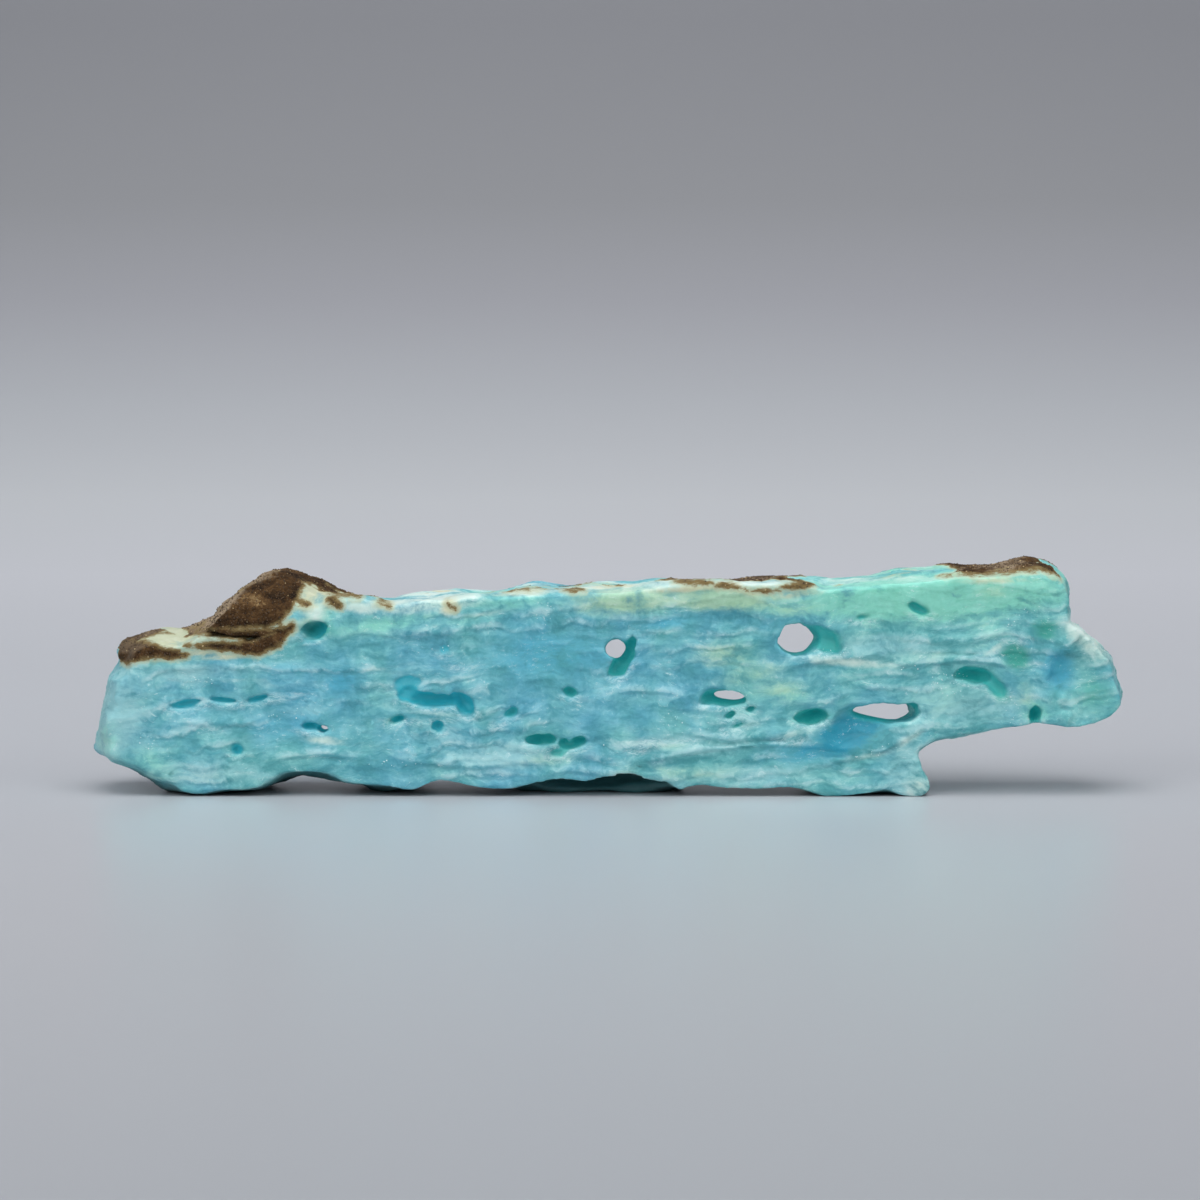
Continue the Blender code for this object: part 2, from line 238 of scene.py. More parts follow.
# %% Rounded copy of the slab
MERGE_WITHIN = 0.002 * MM
ARRIS_ANGLE = math.radians(50)
ARRIS_CREASE = 0.8
ARRIS_DEPTH = 1.0 * MM
SQUEEZED_DEPTH = 0.25 * MM
END_MOVES = [  # x where the move starts, x where it is full, and heights, each with its move to the right
    (63.0, 70.0, [(10.0, 0.0), (12.2, 0.6), (13.3, 0.9), (14.5, 0.6), (15.7, 0.0), (18.0, -0.9),
                  (20.4, -1.0), (22.7, -1.5), (25.1, -1.5), (26.6, 0.0)]),
    (-66.0, -72.0, [(3.6, 0.0), (5.1, -1.1), (6.3, -1.1), (7.5, -0.2), (17.0, 0.3), (18.0, 0.9),
                    (19.6, 0.7), (21.0, -0.4), (22.5, -0.7), (24.0, 0.0)]),
]


def evaluated_mesh(thing):
    """Keeps the mesh that the object's modifiers make of it, and removes them."""
    graph = bpy.context.evaluated_depsgraph_get()
    mesh = bpy.data.meshes.new_from_object(thing.evaluated_get(graph))
    thing.modifiers.clear()
    thing.data = mesh
    return thing


def mesh_points(mesh):
    points = np.empty(len(mesh.vertices) * 3, np.float32)
    mesh.vertices.foreach_get("co", points)
    return points.reshape(-1, 3)


def squeeze_arrises(mesh):
    """Squeezes the outermost millimetre under each sawn face, which sharpens its rounded arris."""
    points = mesh_points(mesh)
    inward = BACK - np.abs(points[:, 1])
    squeezed = np.interp(inward, (0.0, ARRIS_DEPTH, BACK), (0.0, SQUEEZED_DEPTH, BACK))
    points[:, 1] = np.sign(points[:, 1]) * (BACK - squeezed)
    mesh.vertices.foreach_set("co", points.ravel())


def move_ends(mesh):
    """Moves points near each end to the right or left by an amount that depends on their height."""
    points = mesh_points(mesh)
    for start, full, moves in END_MOVES:
        share = np.clip((points[:, 0] / MM - start) / (full - start), 0, 1)
        points[:, 0] += share * np.interp(points[:, 2] / MM, *zip(*moves)) * MM
    mesh.vertices.foreach_set("co", points.ravel())


def rounded_copy(node, name):
    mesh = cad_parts[node].data.copy()
    solid = bmesh.new()
    solid.from_mesh(mesh)
    bmesh.ops.remove_doubles(solid, verts=solid.verts, dist=MERGE_WITHIN)
    crease = solid.edges.layers.float.new("crease_edge")
    for edge in solid.edges:
        if edge.calc_face_angle(0.0) > ARRIS_ANGLE:
            edge[crease] = ARRIS_CREASE
    solid.to_mesh(mesh)
    solid.free()
    mesh.materials.clear()
    thing = bpy.data.objects.new(name, mesh)
    bpy.context.scene.collection.objects.link(thing)
    rounded = thing.modifiers.new("rounded", "SUBSURF")
    rounded.levels = 2
    rounded.render_levels = 2
    evaluated_mesh(thing)
    squeeze_arrises(thing.data)
    move_ends(thing.data)
    return thing


stone = rounded_copy(SLAB, "aragonite_stone")
print("rounded copy", len(stone.data.polygons), "faces")

# %% [markdown]
# ## Hollows with clean rims
# Water dissolved soft spots in the layers, and each left a hollow with a crisp rim and smooth walls
# that climb a little as they go in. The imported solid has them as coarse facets. Here each is cut again
# by a lumpy ball set in the face. The ones that run right through are lumpy tubes, narrow just behind
# the face and wider at the back, so the view through them shows almost no dark wall.

# %% Where the hollows are
FRONT_HOLLOWS = {  # x, z, half length, half height, depth, turn in degrees
    "hump_pit": (-43.2, 24.5, 2.1, 1.4, 3.6, 22),
    "hump_crevice": (-58.4, 23.9, 3.5, 0.5, 3.0, 0),
    "crevice_middle": (-55.4, 23.75, 3.0, 0.45, 3.0, -2),
    "crevice_knee": (-52.3, 23.3, 1.6, 0.6, 2.6, 10),
    "hump_eye": (-48.5, 24.3, 0.75, 0.32, 1.5, 8),
    "left_slot": (-62.0, 13.7, 2.65, 0.65, 1.5, 8),
    "left_slot_arc": (-56.7, 14.2, 2.6, 0.5, 1.4, -3),
    "left_slot_end": (-51.5, 14.5, 2.0, 0.5, 1.4, 15),
    "left_hairline": (-47.1, 15.5, 1.6, 0.24, 0.7, 18),
    "left_dot": (-54.7, 6.9, 0.95, 0.8, 1.6, -5),
    "pin_pit": (-43.9, 10.3, 1.5, 0.6, 2.4, 0),
    "cave_left": (-29.3, 14.9, 2.0, 1.0, 1.6, -8),
    "cave_middle": (-25.6, 14.35, 4.4, 1.15, 3.0, 0),
    "cave_right": (-21.5, 13.8, 2.4, 1.25, 3.0, -50),
    "cave_slope": (-29.4, 16.6, 2.4, 1.2, 0.8, 10),
    "cave_foot_slot": (-31.0, 11.4, 1.35, 0.55, 1.8, 14),
    "cave_foot_groove": (-27.2, 11.65, 2.3, 0.22, 0.8, 2),
    "cave_foot_dot": (-25.0, 10.4, 1.1, 0.95, 1.7, -25),
    "upper_dot": (-24.2, 21.7, 0.9, 0.7, 0.5, -10),
    "upper_slit": (-21.2, 19.6, 1.0, 0.28, 0.7, 5),
    "middle_dot": (-14.3, 12.45, 1.2, 0.85, 1.3, 38),
    "middle_tail": (-15.8, 11.3, 0.9, 0.32, 0.8, 45),
    "small_eye": (-5.6, 15.4, 1.15, 0.75, 1.7, 0),
    "twin_left": (-10.1, 8.4, 2.4, 1.2, 3.2, 0),
    "twin_notch_left": (-6.6, 8.1, 0.8, 0.7, 2.6, 0),
    "twin_notch_right": (-4.4, 8.1, 1.4, 0.8, 3.0, 20),
    "twin_floor": (-5.6, 7.4, 1.5, 0.5, 2.4, 0),
    "twin_trough": (-7.3, 6.5, 1.4, 0.7, 0.9, 15),
    "boot_leg": (2.5, 20.7, 3.2, 1.2, 4.6, 64),
    "boot_toe": (1.3, 18.7, 1.5, 1.4, 3.6, 10),
    "round_tail": (31.9, 23.0, 3.0, 1.7, 2.0, -30),
    "low_bay": (14.9, 14.4, 1.5, 1.15, 3.0, 0),
    "low_floor": (17.5, 13.9, 3.1, 0.65, 3.0, 2),
    "low_dot": (17.8, 12.1, 1.05, 0.6, 1.3, 18),
    "low_drop": (20.9, 12.9, 0.9, 0.45, 1.2, 25),
    "low_dimple": (19.0, 10.4, 1.35, 0.35, 0.7, 24),
    "right_crack": (9.75, 8.7, 2.8, 0.24, 1.0, 10),
    "right_ticks": (4.6, 8.3, 0.95, 0.2, 0.6, 5),
    "lower_ticks": (4.0, 7.2, 0.45, 0.2, 0.6, 0),
    "dark_eye": (29.8, 11.65, 2.6, 1.0, 3.2, 4),
    "dark_eye_deep": (30.5, 11.8, 1.6, 0.8, 4.2, 4),
    "dark_eye_slit": (26.5, 8.8, 1.1, 0.26, 0.9, -8),
    "long_bay": (44.6, 12.7, 1.3, 0.95, 4.0, 40),
    "upper_right_dent": (45.5, 27.7, 1.9, 0.85, 1.3, -25),
    "upper_right_dimple": (37.3, 26.4, 1.3, 0.35, 0.7, 8),
    "crescent": (53.7, 17.8, 2.9, 1.2, 3.4, -8),
    "crescent_slope": (56.9, 16.3, 2.3, 1.2, 1.1, -40),
    "edge_hole": (62.8, 12.0, 1.0, 1.35, 3.5, 0),
    "arc_groove": (59.2, 23.6, 1.25, 0.3, 0.8, -5),
}
BROKEN_FACES = {  # where the right end broke off, behind the sawn face
    "knob_cut": (66.8, 18.4, 2.1, 3.3, 1.1, -5),
    "knob_face": (72.4, 15.4, 6.2, 8.2, 1.2, 12),
}
BACK_HOLLOWS = {
    "back_cave": (-52.0, 13.0, 4.4, 1.8, 4.5, 8),
    "back_cave_dot": (-45.6, 14.6, 1.5, 1.0, 2.4, 0),
    "back_slot": (-31.0, 19.6, 3.6, 0.9, 2.6, 6),
    "back_eye": (-15.5, 22.0, 2.2, 1.4, 4.0, -14),
    "back_dot": (-10.2, 10.4, 1.3, 1.0, 2.2, 20),
    "back_twin": (-6.4, 11.2, 2.0, 0.9, 2.6, 10),
    "back_bay": (8.8, 25.6, 2.8, 1.2, 3.0, 12),
    "back_groove": (30.6, 15.4, 3.4, 0.8, 1.8, -6),
    "back_bowl": (55.0, 22.6, 3.2, 2.2, 4.2, 18),
    "back_drop": (61.6, 16.2, 1.5, 1.0, 2.4, -30),
    "back_left_eye": (-66.0, 16.8, 1.6, 1.0, 2.0, -20),
}
WINDOWS = {  # ovals at the front face, the throat and the back face: x, z, half width, half height
    "round_window": ((28.1, 23.4, 3.3, 2.4), (27.7, 23.5, 2.6, 1.85), (27.5, 21.8, 4.6, 3.6)),
    "low_window": ((17.0, 14.6, 3.3, 1.1), (18.1, 14.8, 2.5, 0.75), (19.0, 13.2, 4.2, 2.4)),
    "long_window": ((40.4, 12.5, 4.6, 1.25), (40.1, 12.6, 4.1, 1.0), (40.6, 10.9, 5.6, 2.6)),
    "boot_window": ((1.2, 21.8, 1.7, 1.6), (1.0, 21.6, 1.5, 1.35), (0.6, 20.4, 2.8, 2.6)),
    "pin_window": ((-42.0, 10.0, 0.9, 0.6), (-42.0, 9.9, 0.72, 0.46), (-42.4, 8.6, 2.0, 1.7)),
}
THROAT = 4.0 * MM
HOLLOW_CLIMB = 0.1
print("hollows", len(FRONT_HOLLOWS) + len(BACK_HOLLOWS) + len(WINDOWS))

# %% Cutters for the hollows
HOLLOW_LUMPS = 0.42
WINDOW_LUMPS = 0.55
LUMP_WIDTH = 2.0 * MM
SMALL_LUMPS = 0.5
SMALLER_BY = 2.7
LUMP_SEED = 4
TUBE_SIDES = 40
TUBE_RINGS = 26
TUBE_OVERSHOOT = 2.5 * MM
CUTTER_STEP = 0.14 * MM


def stepped(values, start, end):
    """0 up to start, 1 from end on, and a smooth step between."""
    share = np.clip((values - start) / (end - start), 0, 1)
    return share * share * (3 - 2 * share)


def lumpy(place, reach):
    """A cutter's point moved a little in and out, so that no rim is a perfect oval."""
    shift = noise.noise_vector(place / LUMP_WIDTH)
    shift += noise.noise_vector(place / LUMP_WIDTH * SMALLER_BY) * SMALL_LUMPS
    return place + Vector((shift.x, 0.0, shift.z)) * HOLLOW_LUMPS * reach


def ball_cutter(solid, face, x, z, half_length, half_height, depth, turn):
    """Adds a squashed ball, centred on a broad face and climbing inwards, to the cutters."""
    centre = Vector((x * MM, face, z * MM))
    stretch = Matrix.Diagonal((half_length * MM, depth * MM, half_height * MM, 1.0))
    slope = Matrix.Rotation(math.radians(-turn), 4, "Y")
    ball = bmesh.ops.create_icosphere(solid, subdivisions=4, radius=1.0, matrix=slope @ stretch)
    for point in ball["verts"]:
        place = point.co + centre
        place.z += HOLLOW_CLIMB * abs(point.co.y)
        point.co = lumpy(place, min(half_length, half_height) * MM)


def window_oval(mouth, throat, far_end, inward):
    """The window's oval at a depth behind the front face, eased from mouth to throat to far end."""
    narrowed = stepped(inward, 0.0, THROAT)
    flared = stepped(inward, THROAT, BACK - FRONT)
    return [a + (b - a) * narrowed + (c - b) * flared for a, b, c in zip(mouth, throat, far_end)]


def tube_cutter(solid, mouth, throat, far_end):
    """Adds a lumpy tube from before the front face to behind the back one."""
    rings = []
    for inward in np.linspace(-TUBE_OVERSHOOT, BACK - FRONT + TUBE_OVERSHOOT, TUBE_RINGS):
        x, z, half_width, half_height = window_oval(mouth, throat, far_end, inward)
        ring = []
        for side in range(TUBE_SIDES):
            turn = 2 * math.pi * side / TUBE_SIDES
            point = Vector(((x + half_width * math.cos(turn)) * MM, FRONT + inward,
                            (z + half_height * math.sin(turn)) * MM))
            ring.append(solid.verts.new(lumpy(point, WINDOW_LUMPS * half_height * MM)))
        rings.append(ring)
    for near, far in zip(rings, rings[1:]):
        for side in range(TUBE_SIDES):
            after = (side + 1) % TUBE_SIDES
            solid.faces.new((near[side], near[after], far[after], far[side]))
    solid.faces.new(rings[0][::-1])
    solid.faces.new(rings[-1])


def hollow_cutter():
    """One closed cutter for every hollow: the balls and tubes, fused where they meet."""
    solid = bmesh.new()
    for hollow in (*FRONT_HOLLOWS.values(), *BROKEN_FACES.values()):
        ball_cutter(solid, FRONT, *hollow)
    for hollow in BACK_HOLLOWS.values():
        ball_cutter(solid, BACK, *hollow)
    for window in WINDOWS.values():
        tube_cutter(solid, *window)
    bmesh.ops.recalc_face_normals(solid, faces=solid.faces)
    mesh = bpy.data.meshes.new("hollow_cutter")
    solid.to_mesh(mesh)
    solid.free()
    cutter = bpy.data.objects.new("hollow_cutter", mesh)
    bpy.context.scene.collection.objects.link(cutter)
    fused = cutter.modifiers.new("fused", "REMESH")
    fused.mode = "VOXEL"
    fused.voxel_size = CUTTER_STEP
    return evaluated_mesh(cutter)


noise.seed_set(LUMP_SEED)
cutter = hollow_cutter()
print("cutter faces", len(cutter.data.polygons))

# %% [markdown]
# ## Cut the hollows
# The cutter comes out of the rounded stone, and a voxel remesh then gives it even faces, small enough
# to carry the ledges between the layers.

# %% Cut and even out
FINE_STEP = 0.29 * MM


def cut_and_even(thing, cutter):
    cut = thing.modifiers.new("cut", "BOOLEAN")
    cut.operation = "DIFFERENCE"
    cut.solver = "MANIFOLD"
    cut.object = cutter
    evaluated_mesh(thing)
    even = thing.modifiers.new("even", "REMESH")
    even.mode = "VOXEL"
    even.voxel_size = FINE_STEP
    settle = thing.modifiers.new("settle", "SMOOTH")
    settle.factor = 0.5
    settle.iterations = 2
    evaluated_mesh(thing)
    bpy.data.objects.remove(cutter)


cut_and_even(stone, cutter)
print("fine stone", 2 * len(stone.data.polygons), "triangles")

# %% [markdown]
# ## Where the colours lie
# The layers were never one blue. Pockets between them are deeper, copper has turned stretches green, and
# the last growth under the crust is cream. Each zone is a soft oval. The crust and the
# longest ledges are drawn with strokes instead, which are lines of changing width. The mesh remembers
# for every point how deep in a zone it is, so the material can fray the edges later.

# %% Soft zones
PALE_STRETCHES = [  # x, z, half length, half height, turn in degrees, strength
    (-74.0, 12.0, 6.0, 9.0, 0, 1.2), (-60.0, 3.6, 14.0, 2.4, 0, 0.7), (-15.0, 6.0, 12.0, 2.4, 2, 0.9),
    (52.0, 13.6, 10.0, 3.4, 0, 0.9), (20.0, 3.0, 14.0, 2.0, 4, 0.7), (13.4, 6.9, 8.0, 1.6, 4, 0.7),
    (40.0, 22.0, 12.0, 2.2, 0, 0.8), (72.0, 12.0, 6.0, 5.0, 0, 0.3), (-62.0, 18.6, 9.0, 1.8, 0, 0.8),
    (-46.0, 12.6, 8.0, 1.2, 5, 0.5),
    (8.0, 8.0, 8.0, 1.6, 5, 0.7), (44.0, 4.0, 4.0, 5.0, 0, 0.9), (-24.0, 8.5, 7.0, 1.4, -4, 0.6),
]
BLUE_POCKETS = [
    (-39.0, 16.9, 3.6, 2.4, 25, 0.75), (-25.0, 14.0, 7.0, 3.2, 0, 0.6), (-8.0, 21.0, 14.0, 5.4, 0, 0.65),
    (30.0, 6.4, 9.0, 2.6, 4, 0.6), (-47.0, 10.0, 12.0, 4.0, 4, 0.5), (66.2, 18.8, 2.8, 3.8, 0, 1.0),
    (8.6, 25.6, 6.0, 1.3, 8, 0.6), (-44.0, 9.0, 8.0, 1.5, 6, 0.45), (4.0, 12.0, 8.0, 3.0, 5, 0.4),
    (-72.6, 15.2, 3.0, 5.0, 0, 0.3), (-52.0, 9.5, 5.0, 1.8, 5, 0.35), (-47.5, 19.0, 5.0, 1.3, 5, 0.45),
    (51.0, 24.5, 6.0, 1.5, 0, 0.35), (17.0, 9.5, 5.0, 1.6, 14, 0.35), (-32.0, 8.6, 5.0, 1.2, -6, 0.3),
]
DEEP_BLUES = [
    (35.6, 9.4, 5.2, 3.0, 25, 1.5), (30.5, 7.2, 6.0, 2.0, 10, 0.5), (66.0, 19.2, 2.0, 3.0, 0, 0.35),
    (-25.0, 12.6, 3.0, 1.0, 0, 0.4),
]
MINT_STRETCHES = [
    (48.0, 29.6, 20.0, 3.6, 3, 1.6), (26.0, 15.2, 7.0, 2.4, -8, 0.5), (62.8, 12.6, 2.4, 2.4, 0, 0.7),
    (-68.0, 4.6, 8.0, 3.4, -15, 0.5), (72.0, 14.5, 5.0, 4.6, 0, 0.3), (-34.0, 25.4, 9.0, 2.2, 5, 0.7),
    (-42.0, 27.0, 3.0, 1.8, 0, 0.7), (26.0, 28.0, 8.0, 2.4, 0, 0.6), (50.0, 14.6, 9.0, 3.4, 8, 0.4),
    (-74.0, 8.5, 3.0, 4.0, 0, 0.5), (-66.0, 19.6, 6.0, 1.4, 0, 0.4), (-9.0, 9.0, 4.0, 1.6, 0, 0.5),
    (56.0, 25.0, 8.0, 3.0, 0, 0.4), (-20.0, 26.0, 9.0, 1.6, 3, 0.4), (36.0, 24.6, 9.0, 3.0, 0, 0.3),
    (-14.0, 28.6, 8.0, 1.6, 3, 0.6), (-30.0, 26.4, 8.0, 1.0, 6, 0.6),
]
EMERALD_DISHES = [
    (59.9, 20.8, 2.4, 2.1, -30, 1.2), (63.8, 24.5, 2.3, 1.9, 20, 1.0), (45.5, 27.6, 2.3, 1.0, -25, 0.9),
    (57.2, 15.6, 2.6, 1.5, -40, 0.9), (71.5, 15.5, 4.0, 4.0, 0, 0.55), (66.4, 19.0, 2.4, 3.4, 0, 0.3),
    (37.3, 26.4, 1.6, 0.7, 8, 0.8), (-42.6, 24.4, 2.2, 1.5, 20, 1.0), (54.2, 17.6, 3.2, 1.4, -8, 0.9),
    (30.0, 11.6, 3.2, 1.4, 4, 0.8),
    (33.0, 22.2, 3.4, 2.0, -30, 0.7), (62.8, 12.0, 1.4, 1.8, 0, 0.7), (-7.0, 7.6, 4.6, 1.6, 0, 0.6),
    (2.4, 20.4, 2.0, 3.4, -20, 0.5), (-14.2, 12.4, 1.6, 1.1, 30, 0.5), (-31.2, 11.4, 1.8, 0.8, 14, 0.9),
    (18.0, 14.2, 4.0, 1.4, 0, 0.5), (-41.0, 24.0, 2.6, 1.2, 10, 0.5),
]
OLIVE_STRETCHES = [
    (2.0, 29.0, 8.0, 2.4, 2, 1.1), (17.0, 21.0, 6.0, 2.6, 0, 0.6), (25.0, 16.0, 6.0, 2.4, -8, 0.5),
    (10.0, 3.4, 12.0, 1.8, 0, 0.5), (17.0, 29.2, 8.0, 2.0, 0, 1.3), (-8.5, 5.6, 5.0, 1.4, 0, 0.5),
    (61.2, 15.2, 2.2, 3.6, 0, 0.45), (56.0, 30.2, 3.4, 1.8, 0, 0.5), (9.0, 7.4, 5.0, 0.9, 4, 0.4),
    (27.0, 27.6, 5.0, 1.4, 5, 0.5), (21.0, 18.0, 8.0, 2.0, 8, 0.5), (-58.0, 2.6, 6.0, 1.2, 0, 0.3),
    (-44.0, 25.9, 2.4, 1.2, 20, 0.6), (46.0, 20.6, 9.0, 1.4, 2, 0.35),
]
STRAW_STAINS = [
    (-64.6, 23.2, 4.4, 1.2, 2, 1.3), (-43.8, 29.6, 1.5, 2.6, -30, 1.4), (-56.5, 20.6, 5.4, 0.5, 2, 0.9),
    (-41.4, 29.3, 2.4, 1.6, -25, 1.0), (-33.2, 28.4, 2.2, 1.1, -6, 0.7), (-23.2, 28.0, 1.6, 1.3, 20, 1.1),
    (-47.6, 25.0, 1.6, 1.2, 30, 0.8), (12.0, 30.6, 7.0, 0.5, 3, 0.8), (28.0, 29.8, 4.0, 0.6, 6, 0.7),
    (56.5, 31.8, 7.0, 0.5, 2, 0.7), (-60.0, 21.2, 5.0, 0.5, 0, 0.8), (1.0, 30.9, 4.0, 0.4, 3, 0.8),
]
CREAM_STRETCHES = [
    (-25.5, 28.8, 8.0, 1.4, 5, 1.1), (-66.0, 22.0, 4.6, 0.8, 3, 0.7), (-43.0, 27.6, 2.0, 2.6, -15, 0.8),
    (-29.0, 28.2, 5.0, 1.4, 6, 1.0), (-12.0, 30.0, 7.0, 0.6, 3, 0.8), (4.0, 30.4, 9.0, 0.5, 2, 0.5),
    (-36.4, 27.9, 3.6, 1.0, -6, 1.0), (71.0, 22.6, 5.0, 1.8, -38, 1.1), (45.8, 1.6, 2.4, 2.2, 0, 0.8),
    (34.5, 19.9, 9.0, 0.8, -4, 0.85), (-42.0, 8.3, 3.4, 0.8, -6, 0.8), (5.5, 7.9, 4.5, 0.6, 0, 0.6),
    (3.5, 31.2, 12.0, 0.9, 3, 0.9), (22.0, 31.4, 9.0, 0.9, 2, 0.8), (40.0, 32.0, 12.0, 0.7, 2, 0.7),
    (-60.0, 3.0, 9.0, 1.4, 4, 0.35), (28.0, 9.6, 6.0, 0.9, 14, 0.5), (20.0, 10.4, 6.0, 1.0, 18, 0.45),
    (44.0, 8.4, 3.0, 0.8, 30, 0.7), (38.0, 6.0, 7.0, 0.6, 10, 0.6),
    (-25.0, 12.3, 6.0, 0.6, -4, 0.6), (57.0, 22.0, 3.0, 0.5, 35, 0.6), (-33.0, 19.0, 6.0, 0.5, 8, 0.4),
    (-18.0, 27.0, 5.0, 0.6, 8, 0.5), (-54.0, 17.2, 6.0, 0.5, 3, 0.4), (-52.0, 6.0, 3.0, 0.4, 0, 0.5),
]
SPARKLING_PATCHES = [
    (-9.3, 27.0, 2.2, 1.6, 0, 1.0), (59.4, 13.2, 1.4, 2.2, 0, 1.2), (9.4, 11.4, 1.8, 1.2, 20, 1.0),
    (44.0, 19.4, 5.0, 0.8, 6, 0.9), (40.0, 6.6, 5.0, 0.6, 12, 0.8), (50.0, 17.0, 4.0, 2.6, 0, 0.8),
    (-24.5, 21.5, 1.4, 0.8, 0, 1.0), (-31.0, 5.0, 5.0, 0.8, 0, 0.8), (-58.0, 17.2, 6.0, 0.8, 4, 0.8),
    (34.0, 20.8, 5.0, 0.8, -4, 0.9), (61.0, 27.0, 5.0, 1.0, 30, 0.8), (-48.0, 12.0, 5.0, 0.8, 10, 0.7),
    (71.0, 23.0, 4.0, 1.0, -38, 0.9), (2.0, 7.6, 5.0, 0.7, 0, 0.8), (-68.0, 8.0, 5.0, 1.2, -20, 0.7),
]
ZONES = {
    "pale": PALE_STRETCHES, "blue": BLUE_POCKETS, "deep": DEEP_BLUES, "mint": MINT_STRETCHES,
    "emerald": EMERALD_DISHES, "olive": OLIVE_STRETCHES, "straw": STRAW_STAINS, "cream": CREAM_STRETCHES,
    "sparkle": SPARKLING_PATCHES,
}


def inwards(points, x, z, half_length, half_height, turn):
    """For each point, 1 in the middle of an oval, 0 on its rim and less than 0 past it."""
    angle = math.radians(turn)
    aside = points[:, 0] - x * MM
    above = points[:, 2] - z * MM
    along = (aside * math.cos(angle) + above * math.sin(angle)) / (half_length * MM)
    across = (above * math.cos(angle) - aside * math.sin(angle)) / (half_height * MM)
    return 1 - np.hypot(along, across)


def zone(points, ovals):
    """The strongest of several soft ovals at each point."""
    values = [strength * np.exp(-(1 - inwards(points, *oval)) ** 2) for *oval, strength in ovals]
    return np.max(values, axis=0)


print("ovals", sum(map(len, ZONES.values())), "in", len(ZONES), "zones")

# %% Strokes of crust and ledges
CRUST_STROKES = [  # each a line of x, z and half width
    [(-61.6, 24.3, 0.3), (-58.6, 25.6, 1.5), (-54.6, 27.3, 2.9), (-50.6, 28.6, 4.1), (-48.6, 29.8, 3.4),
     (-46.0, 31.2, 1.6), (-43.6, 31.6, 0.5)],
    [(-62.4, 22.3, 0.3), (-58.2, 22.3, 0.9), (-54.5, 22.0, 1.1), (-51.5, 22.0, 1.5), (-49.0, 23.2, 1.5),
     (-46.4, 25.2, 0.8)],
    [(-62.2, 24.2, 0.8), (-56.7, 24.3, 1.2), (-52.3, 23.8, 1.2), (-49.4, 24.3, 1.0), (-47.4, 24.7, 0.5)],
    [(-71.0, 21.2, 2.1), (-68.4, 21.5, 1.6), (-66.0, 21.3, 1.2), (-63.2, 21.0, 1.0), (-61.6, 20.9, 0.4)],
    [(-70.2, 23.0, 1.1), (-67.8, 24.0, 0.7), (-65.0, 24.4, 0.4)],
    [(-46.4, 29.2, 0.8), (-44.8, 28.4, 0.6), (-43.4, 28.2, 0.3)],
    [(-44.4, 32.0, 0.6), (-41.2, 30.2, 0.7), (-39.6, 29.4, 0.4), (-36.4, 29.2, 0.3)],
    [(-40.6, 28.9, 0.9), (-39.4, 28.1, 0.7)],
    [(-33.8, 28.6, 0.45), (-32.2, 28.0, 0.45)],
    [(-23.6, 28.6, 0.4), (-22.6, 27.5, 0.5)],
    [(-16.0, 30.2, 0.35), (-9.2, 30.6, 0.4)],
    [(-6.8, 30.5, 0.35), (-5.2, 30.3, 0.6), (-3.6, 30.4, 0.35)],
    [(0.1, 31.5, 0.3), (3.3, 31.6, 0.3)],
    [(9.6, 31.5, 0.4), (12.2, 31.5, 0.6), (15.2, 31.4, 0.45)],
    [(15.6, 31.0, 0.35), (17.4, 31.1, 0.6), (19.4, 30.7, 0.4)],
    [(19.7, 30.5, 0.3), (22.6, 30.3, 0.5), (25.4, 30.4, 0.3)],
    [(25.2, 30.8, 0.4), (27.8, 31.0, 0.75), (30.2, 31.2, 0.55)],
    [(41.6, 33.0, 0.3), (43.5, 33.1, 0.3)],
    [(48.8, 32.5, 0.35), (50.4, 32.5, 0.35)],
    [(51.2, 32.6, 0.3), (54.0, 32.7, 0.5), (56.6, 32.8, 0.45)],
    [(57.6, 33.0, 0.6), (60.4, 33.9, 1.2), (63.4, 34.1, 1.2), (65.4, 33.3, 0.9), (66.4, 32.0, 0.3)],
]
